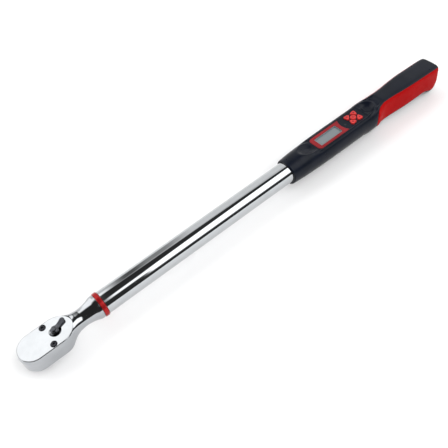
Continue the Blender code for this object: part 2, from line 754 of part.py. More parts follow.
def cavity_inset(x):
    """Wall of the casing: thin at the console, and deeper where grip panels and thumb rest lie."""
    deep = PANEL_SEAT + 1.9
    share = min(max((x - 490.0) / 8.0, 0.0), 1.0)
    return CASING_WALL + (deep - CASING_WALL) * share


def bezel_outline(grow=0.0):
    """Display frame in plan: rounded front, and a hollow rear that leaves the keypad free."""
    front = BEZEL_FRONT - grow
    half = BEZEL_WIDTH / 2 + grow
    radius = BEZEL_ARC - grow
    corner = 5.0 + grow
    reach = math.degrees(math.asin(half / radius))
    outline = arc((front + corner, -half + corner), corner, 180, 270, 5)
    outline += arc((KEYPAD_X, 0), radius, 180 + reach, 180 - reach, 12)
    outline += arc((front + corner, half - corner), corner, 90, 180, 5)
    return outline


def petal_outline(turn, grow=0.0):
    """One of the four keys round the middle one: a rounded triangle that points outward."""
    corners = ((5.2 - grow, -4.1 - grow), (7.6, -4.3 - grow), (13.7 + grow, 0.0),
               (7.6, 4.3 + grow), (5.2 - grow, 4.1 + grow))
    local = rounded(corners, (1.0, 2.0, 2.0, 2.0, 1.0), 2)
    return [turn_about((KEYPAD_X + u, v), (KEYPAD_X, 0), turn) for u, v in local]


PETALS = (
    ("key_rear_left", PETAL_ANGLE),
    ("key_front_left", math.pi - PETAL_ANGLE),
    ("key_front_right", math.pi + PETAL_ANGLE),
    ("key_rear_right", -PETAL_ANGLE),
)


def panel_outline(grow=0.0):
    """Grip panel seen from the side, as (x, z): S-shaped front, and then along the handle's edges."""
    top = ((508.3, -12.0), (507.6, -2.0), (508.4, 6.0), (511.5, 12.0), (517.0, 15.6), (526.0, 17.0),
           (540.0, 16.6), (562.0, 16.4), (578.0, 16.1), (594.0, 15.4), (611.0, 14.8), (628.0, 13.8),
           (640.0, 13.4))
    bottom = ((640.0, -16.0), (631.0, -18.0), (626.0, -20.4), (620.0, -19.6), (613.0, -16.0),
              (606.0, -13.8), (578.0, -13.8), (545.0, -13.8), (530.0, -14.1), (516.0, -15.2))
    return grown([(x, AXIS_Z + z) for x, z in top + bottom], grow)


def casing_shell(name, low, high):
    """The casing between two heights, with its cavity and the recesses for the grip panels."""
    blank = casing_loft(name, OUTER_STATIONS, 0.0, "casing")
    keep_inside(blank, box("keep_" + name, (300, -60, low), (700, 60, high)))
    cavity_stations = [389, 400, 409, 440, 490, 498, 507, 515, 523, 532, 562, 594, 606, 613, 619, 626]
    cavity = casing_loft("cut_cavity_" + name, cavity_stations, cavity_inset)
    tube_hole = rod("cut_tube_hole_" + name, (350, 0, AXIS_Z), (389.6, 0, AXIS_Z), TUBE_RADIUS + GAP,
                    sides=32)
    cut(blank, cavity, tube_hole)
    for side in (1, -1):
        low, high = sorted((side * 8.0, side * 40.0))
        region = prism("cut_panel_%s_%+d" % (name, side), panel_outline(GAP), low, high, side_view=True)
        core = casing_loft("core_%s_%+d" % (name, side), CORE_STATIONS + [630.4], PANEL_SEAT)
        cut(region, core)
        cut(blank, region)
    return blank


def boss(name, x, y, low, high, radius):
    return rod(name, (x, y, low), (x, y, high), radius, sides=10)


def screw_seat(x, y):
    """Height of the screw head's underside: a little inside the casing's bottom skin."""
    half, top, bottom, deck, upper, lower = casing_at(x)
    skin = bottom * (1 - (abs(y) / half) ** lower) ** (1 / lower)
    return AXIS_Z - skin + 3.4


def housing_upper():
    shell = casing_shell("housing_upper", SPLIT_Z + GAP / 2, 90)
    for name, x, y in CASING_SCREWS:
        half, top, bottom, deck, upper, lower = casing_at(x)
        roof = AXIS_Z + (min(top, deck) - cavity_inset(x)) * (1 - (abs(y) / half) ** 6)
        join(shell, boss("join_upper_boss_" + name, x, y, SPLIT_Z + GAP / 2, roof + 1.0, 3.0))
        cut(shell, boss("cut_upper_boss_" + name, x, y, SPLIT_Z - 1, roof - 2.0, 1.5))
    window = ((DISPLAY_X - 17.5, -6.3), (DISPLAY_X + 17.5, -6.3), (DISPLAY_X + 17.5, 6.3),
              (DISPLAY_X - 17.5, 6.3))
    cut(shell,
        prism("cut_bezel_seat", bezel_outline(GAP), DECK_Z - 1.8, DECK_Z + 5),
        prism("cut_window", window, AXIS_Z + 5, DECK_Z + 5),
        rod("cut_centre_key", (KEYPAD_X, 0, AXIS_Z + 5), (KEYPAD_X, 0, DECK_Z + 5), KEY_RADIUS + GAP),
        rod("cut_indicator", (INDICATOR_X, INDICATOR_Y, AXIS_Z + 5), (INDICATOR_X, INDICATOR_Y, DECK_Z + 5),
            INDICATOR_RADIUS + GAP, sides=12))
    for name, turn in PETALS:
        cut(shell, prism("cut_" + name, petal_outline(turn, GAP), AXIS_Z + 5, DECK_Z + 5))
    bm = bmesh.new()
    bmesh.ops.create_uvsphere(bm, u_segments=20, v_segments=10, radius=MM)
    bmesh.ops.scale(bm, vec=(9.2, 10.2, 3.6), verts=bm.verts)
    bmesh.ops.translate(bm, vec=Vector((505.5, 0, AXIS_Z + 13.6)) * MM, verts=bm.verts)
    cut(shell, from_bmesh("cut_thumb_dish", bm))
    return shell


def housing_lower():
    shell = casing_shell("housing_lower", -40, SPLIT_Z - GAP / 2)
    for name, x, y in CASING_SCREWS:
        seat = screw_seat(x, y)
        join(shell, boss("join_lower_boss_" + name, x, y, seat - 1.0, SPLIT_Z - GAP / 2, 3.4))
        cut(shell,
            boss("cut_lower_boss_" + name, x, y, seat - 8, SPLIT_Z + 2, 1.5),
            boss("cut_screw_seat_" + name, x, y, seat - 12, seat, 2.8))
    cut(shell, box("cut_battery_opening", (COVER_FRONT, -OPENING_Y, -20),
                   (COVER_REAR, OPENING_Y, AXIS_Z - 9.0)))
    return shell


def casing_screws():
    for name, x, y in CASING_SCREWS:
        seat = screw_seat(x, y) - GAP
        profile = ((0, SPLIT_Z + 6.0), (1.2, SPLIT_Z + 6.0), (1.2, seat), (2.5, seat),
                   (2.5, seat - 1.6), (2.1, seat - 2.0), (0, seat - 2.0))
        turned("casing_screw_" + name, profile, "gunmetal", steps=12, place=(x, y, 0))


def grip_panel(name, side):
    low, high = sorted((side * 8.0, side * 40.0))
    panel = casing_loft(name, OUTER_STATIONS[OUTER_STATIONS.index(502):], 0.0, "grip_red")
    core = casing_loft("core_" + name, CORE_STATIONS + [630.7], PANEL_THICKNESS)
    cut(panel, core)
    keep_inside(panel, prism("keep_" + name, panel_outline(), low + side * 0.3, high, side_view=True))
    return panel


# Console --------------------------------------------------------------------------------------

def display_bezel():
    bezel = prism("display_bezel", bezel_outline(), DECK_Z - 1.5, DECK_Z + 0.3, "bezel_red")
    half = DISPLAY_LENGTH / 2
    opening = box("cut_bezel_opening", (DISPLAY_X - half, -DISPLAY_WIDTH / 2, DECK_Z - 5),
                  (DISPLAY_X + half, DISPLAY_WIDTH / 2, DECK_Z + 5))
    return cut(bezel, opening)


def display():
    half = DISPLAY_LENGTH / 2 - GAP
    side = DISPLAY_WIDTH / 2 - GAP
    box("display_window", (DISPLAY_X - half, -side, DECK_Z - 1.5), (DISPLAY_X + half, side, DECK_Z - 0.5),
        "display")
    box("display_panel", (DISPLAY_X - 20, -8.5, BOARD_Z + 2.0), (DISPLAY_X + 20, 8.5, BOARD_Z + 4.4),
        "display")


def key(name, outline, flange):
    cap = prism(name, outline, DECK_Z - 3.0, KEY_TOP, "key_red")
    bevel = cap.modifiers.new("edge", "BEVEL")
    bevel.width = 0.5 * MM
    bevel.limit_method = "ANGLE"
    bevel.angle_limit = math.radians(60)
    join(cap, prism("join_flange_" + name, flange, DECK_Z - 3.5, DECK_Z - 2.7))
    return cap


def keys():
    key("key_centre", arc((KEYPAD_X, 0), KEY_RADIUS, 0, 340, 17),
        arc((KEYPAD_X, 0), KEY_RADIUS + 0.3, 0, 340, 17))
    for name, turn in PETALS:
        key(name, petal_outline(turn), petal_outline(turn, 0.3))


def circuit_board():
    top = BOARD_Z + BOARD_THICKNESS
    board = box("circuit_board", (404, -9, BOARD_Z), (494, 9, top), "board_green")
    domes = [("centre", KEYPAD_X, 0.0)]
    for name, turn in PETALS:
        domes.append((name, KEYPAD_X + 9.0 * math.cos(turn), 9.0 * math.sin(turn)))
    for name, x, y in domes:
        join(board, rod("join_dome_" + name, (x, y, BOARD_Z + 1), (x, y, top + 0.7), 2.0, sides=12))
    rod("buzzer", (468, 0, BOARD_Z - 2.9), (468, 0, BOARD_Z - GAP), 4.5, "black_part", sides=20)
    rod("indicator", (INDICATOR_X, INDICATOR_Y, top + GAP), (INDICATOR_X, INDICATOR_Y, DECK_Z + 0.2),
        INDICATOR_RADIUS, "display", sides=12)
    return board


# Battery --------------------------------------------------------------------------------------

def battery_bay():
    front = CELL_FRONT - 5.0
    rear = CELL_FRONT + CELL_LENGTH + 2.5
    roof = CELL_Z + CELL_RADIUS + GAP
    tray = box("battery_tray", (front, -9.6, roof), (rear, 9.6, roof + 1.2), "black_part")
    join(tray,
         box("join_tray_front", (front, -8.0, CELL_Z - 3.5), (front + 1.2, 8.0, roof + 0.6)),
         box("join_tray_rear", (rear - 1.2, -8.0, CELL_Z - 3.5), (rear, 8.0, roof + 0.6)))
    for name, side in (("left", 1), ("right", -1)):
        y = side * CELL_Y
        nub = CELL_FRONT + CELL_LENGTH
        profile = ((0, nub), (1.8, nub), (1.8, nub - 1.0), (CELL_RADIUS - 0.4, nub - 1.0),
                   (CELL_RADIUS, nub - 1.4), (CELL_RADIUS, CELL_FRONT + 0.4),
                   (CELL_RADIUS - 0.4, CELL_FRONT), (0, CELL_FRONT))
        turned("battery_cell_" + name, profile, "cell", steps=20, place=(0, y, CELL_Z), along_x=True)
        coil("contact_spring_" + name, (front + 1.5, y, CELL_Z), (CELL_FRONT - GAP, y, CELL_Z),
             2.4, 0.35, 3)
    box("contact_strip", (rear - 2.0, -7.5, CELL_Z - 3), (rear - 1.5, 7.5, CELL_Z + 3), "brass")


def battery_cable():
    route = [(551.8, 0, -0.6), (546, 0, 0.2), (538, 0, 1.6), (526, 0, 1.4), (514, 0, 2.2), (504, 0, 4.2),
             (498, 0, 5.2), (494.6, 0, 5.4)]
    return wire("battery_cable", [(x, y, AXIS_Z + z) for x, y, z in route], 0.9, "black_part")


def battery_cover():
    stations = [545] + spread(555, 607, 10.4) + [612]
    cover = casing_loft("battery_cover", stations, 0.0, "casing")
    cut(cover, casing_loft("core_battery_cover", [540] + spread(555, 607, 10.4) + [616], 2.2))
    keep_inside(cover, box("keep_battery_cover", (COVER_FRONT + 0.4, -OPENING_Y + GAP, -20),
                           (COVER_REAR - 0.4, OPENING_Y - GAP, AXIS_Z - 8.0)))
    return cover


clear_scene()
parts = new_collection("torque_wrench")
cutters = new_collection("cutters")

ratchet_head()
head_cover()
cover_screw("cover_screw_left", 1)
cover_screw("cover_screw_right", -1)
drive_gear()
drive_ball()
pawl()
reversing_lever()
trim_band()
tube()
pins()
beam_ring()
strain_gauges()
gauge_cable()
handle_bar()
housing_upper()
housing_lower()
casing_screws()
grip_panel("grip_panel_left", 1)
grip_panel("grip_panel_right", -1)
display_bezel()
display()
keys()
circuit_board()
battery_bay()
battery_cable()
battery_cover()
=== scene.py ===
"""Looks of the digital torque wrench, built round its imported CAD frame.

The row's frame is kept: +X runs along the tube to the handle and +Z points up through the top
plate. Shapes are worked out in millimetres from the tube's axis, and placed in metres.
"""

import json
import math

import bmesh
import bpy
from mathutils import Matrix, Vector


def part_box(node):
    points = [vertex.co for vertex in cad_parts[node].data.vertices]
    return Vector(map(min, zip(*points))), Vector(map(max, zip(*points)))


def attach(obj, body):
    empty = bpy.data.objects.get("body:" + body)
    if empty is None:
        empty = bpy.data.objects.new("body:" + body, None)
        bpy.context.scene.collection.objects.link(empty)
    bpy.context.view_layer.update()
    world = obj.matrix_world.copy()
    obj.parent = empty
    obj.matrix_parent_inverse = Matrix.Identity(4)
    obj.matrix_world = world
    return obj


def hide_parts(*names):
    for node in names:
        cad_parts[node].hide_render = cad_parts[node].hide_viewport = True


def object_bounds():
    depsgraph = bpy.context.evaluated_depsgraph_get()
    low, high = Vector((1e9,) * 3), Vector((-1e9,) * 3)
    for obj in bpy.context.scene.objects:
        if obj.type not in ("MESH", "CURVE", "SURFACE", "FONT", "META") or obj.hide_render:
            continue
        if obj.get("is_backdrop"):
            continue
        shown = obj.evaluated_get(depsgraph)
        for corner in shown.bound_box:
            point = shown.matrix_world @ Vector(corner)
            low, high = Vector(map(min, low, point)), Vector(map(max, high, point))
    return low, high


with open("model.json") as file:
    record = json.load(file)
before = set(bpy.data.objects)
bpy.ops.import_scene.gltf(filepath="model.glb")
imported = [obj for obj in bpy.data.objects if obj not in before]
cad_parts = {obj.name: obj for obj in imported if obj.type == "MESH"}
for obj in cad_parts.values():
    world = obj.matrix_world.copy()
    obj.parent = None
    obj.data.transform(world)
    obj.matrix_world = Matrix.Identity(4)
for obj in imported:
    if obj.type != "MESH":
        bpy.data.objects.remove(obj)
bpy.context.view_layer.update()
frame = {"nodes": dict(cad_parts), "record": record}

MM = 0.001


# Places taken from the frame, in millimetres -----------------------------------------------------

def span(node):
    """Lowest and highest corner of a CAD node, in millimetres."""
    low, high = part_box(node)
    return Vector(low) / MM, Vector(high) / MM


tube_low, tube_high = span("tube")
AXIS_Z = (tube_low.z + tube_high.z) / 2
TUBE_RADIUS = (tube_high.z - tube_low.z) / 2

band_low, band_high = span("trim_band")
BAND_START = band_low.x
BAND_END = band_high.x
BAND_RADIUS = (band_high.z - band_low.z) / 2

HEAD_END = span("ratchet_head")[1].x
cover_low, cover_high = span("head_cover")
COVER_RADIUS = -cover_low.x
COVER_TOP = cover_high.z - AXIS_Z
COVER_SEAT = cover_low.z - AXIS_Z
COVER_ARCH_X = 26.0
COVER_ARCH = cover_high.x - COVER_ARCH_X

screw_low, screw_high = span("cover_screw_left")
SCREW_X = (screw_low.x + screw_high.x) / 2
SCREW_Y = (screw_low.y + screw_high.y) / 2
SCREW_RADIUS = (screw_high.x - screw_low.x) / 2

LEVER_X = 27.1
LEVER_ANGLE = math.radians(24)
LEVER_BORE = 3.8
GEAR_POCKET = 14.1
GEAR_POCKET_FLOOR = 16.0 - AXIS_Z
JOURNAL_BORE = 11.3
PLUG_END = 104.0                # the head's plug in the tube ends here, and its flat beam starts
BEAM_END = 160.0

casing_low, casing_high = span("housing_upper")
CASING_START = casing_low.x
CASING_END = casing_high.x + 0.4
SPLIT = casing_low.z - AXIS_Z - 0.15

bezel_low, bezel_high = span("display_bezel")
DECK = bezel_high.z - AXIS_Z - 0.3
BEZEL_FRONT = bezel_low.x
BEZEL_HALF = (bezel_high.y - bezel_low.y) / 2
window_low, window_high = span("display_window")
DISPLAY_X = (window_low.x + window_high.x) / 2
DISPLAY_HALF = (window_high.x - window_low.x) / 2 + 0.3
DISPLAY_SIDE = (window_high.y - window_low.y) / 2 + 0.3

key_low, key_high = span("key_centre")
KEYPAD_X = (key_low.x + key_high.x) / 2
KEY_TOP = key_high.z - AXIS_Z
KEY_RADIUS = 4.0
PETAL_ANGLE = math.radians(42.3)
BEZEL_ARC = 21.5

hatch_low, hatch_high = span("battery_cover")

# Casing sections from the tube's axis:
# x, half width, top, bottom, deck height, squareness of the upper half, of the lower half
CASING = (
    (360, 16.7, 16.5, 17.8, 28, 2, 2),
    (364, 17, 16.9, 18.2, 25, 2, 2),
    (370, 17.5, 17.4, 18.5, 21.5, 2, 2),
    (380, 18.1, 18, 19.1, 18.6, 2, 2),
    (390, 18.4, 18.4, 19.5, 15.9, 2, 2),
    (400, 18.7, 18.8, 19.7, 13.2, 2, 2),
    (409, 19.1, 19.1, 20.1, 11.7, 2, 2),
    (440, 19.3, 19.2, 20.4, 11.7, 2, 2),
    (484, 19.2, 19.2, 20.5, 11.7, 2, 2),
    (495, 19.6, 19.4, 23.1, 12.1, 2, 2),
    (502, 19.9, 19.6, 22.1, 12.8, 2, 2),
    (510, 19.3, 19.2, 21.4, 13.2, 2.1, 2.1),
    (516, 17.2, 17.8, 20.2, 13.2, 2.6, 2.4),
    (522, 14.7, 17, 18.9, 14.8, 4, 3),
    (530, 13.1, 16.9, 18.9, 18.5, 5.5, 4),
    (545, 13.8, 16.6, 19.1, 20, 5.5, 4),
    (562, 15, 16.7, 19.4, 20, 6, 4),
    (578, 15.7, 16.7, 19.5, 20, 6, 4),
    (594, 15.9, 16.1, 19.3, 20, 6, 4),
    (606, 16, 15.6, 19.5, 20, 6, 4),
    (613, 16, 15.3, 22.2, 20, 6, 4),
    (619, 16, 15.1, 25.8, 20, 6, 4),
    (624, 15.9, 14.9, 26.8, 20, 6, 4),
    (628, 15.7, 14.7, 24.4, 20, 6, 4),
    (631, 15.4, 14.5, 17.2, 20, 6, 4),
    (633.4, 14.6, 13.6, 12.2, 20, 6, 4),
)

# Neck and head sections behind the head's round nose:
# x, half width, top, bottom, upper corner radius, lower corner radius, lean of the side's upper part
HEAD = (
    (0, 18.7, 8.3, 13, 0.3, 1.8, 0.8),
    (26, 18.7, 8.3, 13, 0.3, 1.8, 0.8),
    (30, 18.5, 8.4, 12.9, 0.8, 2.5, 0.7),
    (34, 17.8, 8.7, 12.5, 2.2, 4.5, 0.5),
    (38, 16.2, 9.5, 11.8, 4.6, 6.8, 0.2),
    (42, 14, 10.4, 11.3, 7.4, 8.6, 0),
    (46, 12.4, 10.8, 11.1, 9.6, 9.8, 0),
    (50.6, 11.2, 11.2, 11.2, 11.1, 11.1, 0),
)
# and the round neck behind them: x, radius
NECK = ((54, 10.8), (58, 10.5), (63, 10.9), (67.5, 11.6), (71, 12.6), (74.5, 13.9), (77.5, 14.4),
        (79.3, 14.4))


# Mesh helpers ------------------------------------------------------------------------------------

def put(name, mesh):
    """Object in the scene that shows a mesh or curve."""
    obj = bpy.data.objects.new(name, mesh)
    bpy.context.scene.collection.objects.link(obj)
    return obj


def shade(mesh, sharp):
    """Smooth shading, with edges that turn more than sharp degrees kept crisp."""
    mesh.shade_smooth()
    mesh.set_sharp_from_angle(angle=math.radians(sharp))


def finish_mesh(name, bm, sharp=38):
    """Turns a bmesh in millimetres from the tube's axis into an object in the row's frame."""
    bmesh.ops.remove_doubles(bm, verts=bm.verts, dist=0.0005)
    bmesh.ops.recalc_face_normals(bm, faces=bm.faces)
    bmesh.ops.transform(bm, matrix=Matrix.Scale(MM, 4) @ Matrix.Translation((0, 0, AXIS_Z)), verts=bm.verts)
    mesh = bpy.data.meshes.new(name)
    bm.to_mesh(mesh)
    bm.free()
    shade(mesh, sharp)
    return put(name, mesh)


def skin(bm, rings, closed=True, caps=True):
    """Joins rings of points with faces; the ends are capped unless caps is off."""
    made = [[bm.verts.new(point) for point in ring] for ring in rings]
    count = len(made[0])
    for first, second in zip(made, made[1:]):
        for i in range(count if closed else count - 1):
            j = (i + 1) % count
            bm.faces.new((first[i], first[j], second[j], second[i]))
    if caps:
        bm.faces.new(made[0][::-1])
        bm.faces.new(made[-1])
    return made


def slab(name, outside, inside):
    """Closed solid between two grids of points that have the same rows and columns."""
    bm = bmesh.new()
    grids = [[[bm.verts.new(point) for point in row] for row in layer] for layer in (outside, inside)]
    for grid in grids:
        for first, second in zip(grid, grid[1:]):
            for j in range(len(first) - 1):
                bm.faces.new((first[j], first[j + 1], second[j + 1], second[j]))
    outer, inner = grids
    last_row = len(outer) - 1
    last = len(outer[0]) - 1
    border = [(i, 0) for i in range(last_row)] + [(last_row, j) for j in range(last)]
    border += [(i, last) for i in range(last_row, 0, -1)] + [(0, j) for j in range(last, 0, -1)]
    for (a, b), (c, d) in zip(border, border[1:] + border[:1]):
        bm.faces.new((outer[a][b], outer[c][d], inner[c][d], inner[a][b]))
    return finish_mesh(name, bm)


def turned(name, profile, steps=64, centre=(0, 0), along_x=False, sharp=38):
    """Closed profile of (radius, height) points turned about Z at a centre, or about the tube's axis."""
    bm = bmesh.new()
    rings = []
    for step in range(steps + 1):
        angle = 2 * math.pi * step / steps
        ring = []
        for radius, height in profile:
            across = radius * math.cos(angle)
            up = radius * math.sin(angle)
            ring.append((height, across, up) if along_x else (centre[0] + across, centre[1] + up, height))
        rings.append(ring)
    skin(bm, rings, caps=False)
    return finish_mesh(name, bm, sharp)


def arc(centre, radius, start, end, steps):
    """Points on an arc, angles in degrees."""
    points = []
    for step in range(steps + 1):
        angle = math.radians(start + (end - start) * step / steps)
        points.append((centre[0] + radius * math.cos(angle), centre[1] + radius * math.sin(angle)))
    return points


def circle(centre, radius, count=36):
    return arc(centre, radius, 0, 360 - 360 / count, count - 1)


def rounded(corners, radii, steps=6):
    """Polygon whose corners are rounded to the given radii."""
    outline = []
    count = len(corners)
    for i, (corner, radius) in enumerate(zip(corners, radii)):
        corner = Vector(corner)
        back = (Vector(corners[i - 1]) - corner).normalized()
        ahead = (Vector(corners[(i + 1) % count]) - corner).normalized()
        half = back.angle(ahead) / 2
        centre = corner + (back + ahead).normalized() * radius / math.sin(half)
        first = corner + back * radius / math.tan(half) - centre
        last = corner + ahead * radius / math.tan(half) - centre
        for step in range(steps + 1):
            spoke = first.slerp(last, step / steps).normalized()
            outline.append(tuple(centre + spoke * radius))
    return outline


def rectangle(x_low, x_high, y_low, y_high, radius):
    """Rectangle in plan with four equal rounded corners."""
    return rounded(((x_low, y_low), (x_high, y_low), (x_high, y_high), (x_low, y_high)), (radius,) * 4)


def turn_about(point, centre, angle):
    """Plan point turned about a plan centre."""
    x = point[0] - centre[0]
    y = point[1] - centre[1]
    return (centre[0] + x * math.cos(angle) - y * math.sin(angle),
            centre[1] + x * math.sin(angle) + y * math.cos(angle))


def prism(name, outlines, low, high, edge=0.0, edge_steps=3):
    """Plan outlines, the later ones being holes, raised from low to high with rounded edges."""
    curve = bpy.data.curves.new(name, "CURVE")
    curve.dimensions = "2D"
    curve.fill_mode = "BOTH"
    curve.extrude = ((high - low) / 2 - edge) * MM
    curve.bevel_depth = edge * MM
    curve.bevel_resolution = edge_steps
    curve.offset = -edge * MM
    for outline in outlines:
        spline = curve.splines.new("POLY")
        spline.points.add(len(outline) - 1)
        for point, (x, y) in zip(spline.points, outline):
            point.co = (x * MM, y * MM, 0, 1)
        spline.use_cyclic_u = True
    rough = put(name + "_curve", curve)
    bpy.context.view_layer.update()
    mesh = bpy.data.meshes.new_from_object(rough.evaluated_get(bpy.context.evaluated_depsgraph_get()))
    bpy.data.objects.remove(rough, do_unlink=True)
    bm = bmesh.new()
    bm.from_mesh(mesh)
    bpy.data.meshes.remove(mesh)
    bmesh.ops.transform(bm, matrix=Matrix.Scale(1 / MM, 4), verts=bm.verts)
    bmesh.ops.translate(bm, vec=(0, 0, (low + high) / 2), verts=bm.verts)
    return finish_mesh(name, bm)


def bake(obj):
    """Makes an object's modifiers part of its mesh."""
    depsgraph = bpy.context.evaluated_depsgraph_get()
    mesh = bpy.data.meshes.new_from_object(obj.evaluated_get(depsgraph))
    obj.modifiers.clear()
    obj.data = mesh
    shade(mesh, 32)
    return obj


def even_shading(piece):
    """Lets large flat faces keep their own direction up to their rounded edges."""
    weighted = piece.modifiers.new("even_shading", "WEIGHTED_NORMAL")
    weighted.keep_sharp = True
    weighted.weight = 100


def carve(obj, *cutters):
    """Cuts the cutters' shapes out of an object and removes them."""
    for cutter in cutters:
        modifier = obj.modifiers.new(cutter.name, "BOOLEAN")
        modifier.operation = "DIFFERENCE"
        modifier.object = cutter
    bpy.context.view_layer.update()
    bake(obj)
    for cutter in cutters:
        bpy.data.objects.remove(cutter, do_unlink=True)
    return obj


def merge(name, pieces):
    """One object that holds the meshes of several."""
    bm = bmesh.new()
    for piece in pieces:
        bm.from_mesh(piece.data)
        bpy.data.objects.remove(piece, do_unlink=True)
    mesh = bpy.data.meshes.new(name)
    bm.to_mesh(mesh)
    bm.free()
    shade(mesh, 38)
    return put(name, mesh)


def blended(stations, x):
    """Values at x, by smooth interpolation that doesn't overshoot the stations."""
    last = len(stations) - 2
    i = min(max(sum(1 for station in stations if station[0] <= x) - 1, 0), last)
    low = stations[i]
    high = stations[i + 1]
    width = high[0] - low[0]
    t = (x - low[0]) / width
    values = []
    for column in range(1, len(low)):
        slopes = []
        for k in (i, i + 1):
            if k == 0 or k == len(stations) - 1:
                slopes.append((high[column] - low[column]) / width)
                continue
            before = (stations[k][column] - stations[k - 1][column]) / (stations[k][0] - stations[k - 1][0])
            after = (stations[k + 1][column] - stations[k][column]) / (stations[k + 1][0] - stations[k][0])
            slopes.append(2 * before * after / (before + after) if before * after > 0 else 0.0)
        rise = (2 * t ** 3 - 3 * t ** 2 + 1) * low[column] + (3 * t ** 2 - 2 * t ** 3) * high[column]
        lean = (t ** 3 - 2 * t ** 2 + t) * slopes[0] + (t ** 3 - t ** 2) * slopes[1]
        values.append(rise + lean * width)
    return values


def spread(start, end, step):
    """Even places from start to end, about a step apart."""
    count = max(1, round((end - start) / step))
    return [start + (end - start) * i / count for i in range(count + 1)]


def smooth_min(a, b, blend):
    """The lower of two values, with a rounded change from one to the other."""
    share = max(blend - abs(a - b), 0.0) / blend
    return min(a, b) - share * share * blend / 4


def bump(distance, width):
    """Bell of height 1 round distance 0."""
    return math.exp(-(distance / width) ** 2)


def fade(value, start, end):
    """Smooth step from 0 at start to 1 at end."""
    t = min(max((value - start) / (end - start), 0.0), 1.0)
    return t * t * (3 - 2 * t)


# Materials ---------------------------------------------------------------------------------------

def blank_material(name):
    """New material with its node tree and its shader."""
    made = bpy.data.materials.new(name)
    made.use_nodes = True
    return made, made.node_tree, made.node_tree.nodes["Principled BSDF"]


def grain(tree, size_mm, detail=3.0, stretch=(1, 1, 1)):
    """Noise in the object's own space, with patches of about the given size."""
    place = tree.nodes.new("ShaderNodeTexCoord")
    mapping = tree.nodes.new("ShaderNodeMapping")
    mapping.inputs["Scale"].default_value = stretch
    noise = tree.nodes.new("ShaderNodeTexNoise")
    noise.inputs["Scale"].default_value = 1000 / size_mm
    noise.inputs["Detail"].default_value = detail
    tree.links.new(place.outputs["Object"], mapping.inputs["Vector"])
    tree.links.new(mapping.outputs["Vector"], noise.inputs["Vector"])
    return noise.outputs["Fac"]


def tint(tree, factor, colours, target, stops=(0.35, 0.65)):
    """Colours a socket between two colours by a factor."""
    ramp = tree.nodes.new("ShaderNodeValToRGB")
    for element, stop, colour in zip(ramp.color_ramp.elements, stops, colours):
        element.position = stop
        element.color = (*colour, 1.0)
    tree.links.new(factor, ramp.inputs["Fac"])
    tree.links.new(ramp.outputs["Color"], target)


def calculate(tree, operation, *values):
    """Result of a math node, whose values are numbers or other nodes' outputs."""
    node = tree.nodes.new("ShaderNodeMath")
    node.operation = operation
    for socket, value in zip(node.inputs, values):
        if isinstance(value, float):
            socket.default_value = value
        else:
            tree.links.new(value, socket)
    return node.outputs["Value"]


def remap(tree, factor, start, end, low=0.0, high=1.0, interpolation="LINEAR"):
    """A factor that runs from start to end, changed to run from low to high."""
    node = tree.nodes.new("ShaderNodeMapRange")
    node.interpolation_type = interpolation
    for socket, value in (("From Min", start), ("From Max", end), ("To Min", low), ("To Max", high)):
        node.inputs[socket].default_value = value
    tree.links.new(factor, node.inputs["Value"])
    return node.outputs["Result"]


def spread_value(tree, factor, low, high, target):
    """Lets a socket vary between two values with a factor."""
    tree.links.new(remap(tree, factor, 0.3, 0.7, low, high), target)


def relief(tree, shader, factor, depth_mm):
    """Fine unevenness of the surface, of the given depth."""
    made = tree.nodes.new("ShaderNodeBump")
    made.inputs["Distance"].default_value = depth_mm * MM
    made.inputs["Strength"].default_value = 1.0
    tree.links.new(factor, made.inputs["Height"])
    tree.links.new(made.outputs["Normal"], shader.inputs["Normal"])


def metal(name, colours, roughness, scratch_mm=0.0):
    """Polished or machined metal with patches of slightly different polish."""
    made, tree, shader = blank_material(name)
    shader.inputs["Metallic"].default_value = 1.0
    tint(tree, grain(tree, 14.0), colours, shader.inputs["Base Color"])
    spread_value(tree, grain(tree, 5.0, 5.0), *roughness, shader.inputs["Roughness"])
    if scratch_mm:
        relief(tree, shader, grain(tree, 0.8, 4.0, (0.15, 1, 1)), scratch_mm)
    return made


def plastic(name, colours, roughness, grain_mm, depth_mm, specular=0.5):
    """Moulded plastic or rubber with a fine moulded grain."""
    made, tree, shader = blank_material(name)
    tint(tree, grain(tree, 22.0, 4.0), colours, shader.inputs["Base Color"])
    spread_value(tree, grain(tree, 7.0, 4.0), *roughness, shader.inputs["Roughness"])
    shader.inputs["Specular IOR Level"].default_value = specular
    relief(tree, shader, grain(tree, grain_mm, 2.0), depth_mm)
    return made


def chrome():
    return metal("chrome", ((0.48, 0.495, 0.51), (0.51, 0.525, 0.54)), (0.03, 0.06))


def satin_chrome():
    """Plating of the forged head, a little less bright than the tube's."""
    return metal("satin_chrome", ((0.40, 0.413, 0.43), (0.43, 0.443, 0.46)), (0.05, 0.10))


def gunmetal():
    return metal("gunmetal", ((0.035, 0.036, 0.042), (0.06, 0.062, 0.07)), (0.22, 0.36))


def blued_steel():
    return metal("blued_steel", ((0.05, 0.053, 0.062), (0.08, 0.083, 0.092)), (0.10, 0.2))


def steel():
    return metal("steel", ((0.38, 0.38, 0.39), (0.50, 0.50, 0.51)), (0.25, 0.42), 0.01)


def spring_steel():
    return metal("spring_steel", ((0.45, 0.45, 0.46), (0.55, 0.55, 0.56)), (0.2, 0.34))


def brass():
    return metal("brass", ((0.55, 0.40, 0.16), (0.65, 0.50, 0.24)), (0.28, 0.42))


def red_anodised():
    made = metal("red_anodised", ((0.32, 0.008, 0.010), (0.40, 0.012, 0.014)), (0.16, 0.26))
    shader = made.node_tree.nodes["Principled BSDF"]
    shader.inputs["Metallic"].default_value = 0.5
    shader.inputs["Specular IOR Level"].default_value = 0.3
    return made


def casing_plastic():
    colours = ((0.003, 0.005, 0.010), (0.005, 0.007, 0.014))
    return plastic("casing_plastic", colours, (0.27, 0.36), 0.35, 0.004, 0.15)


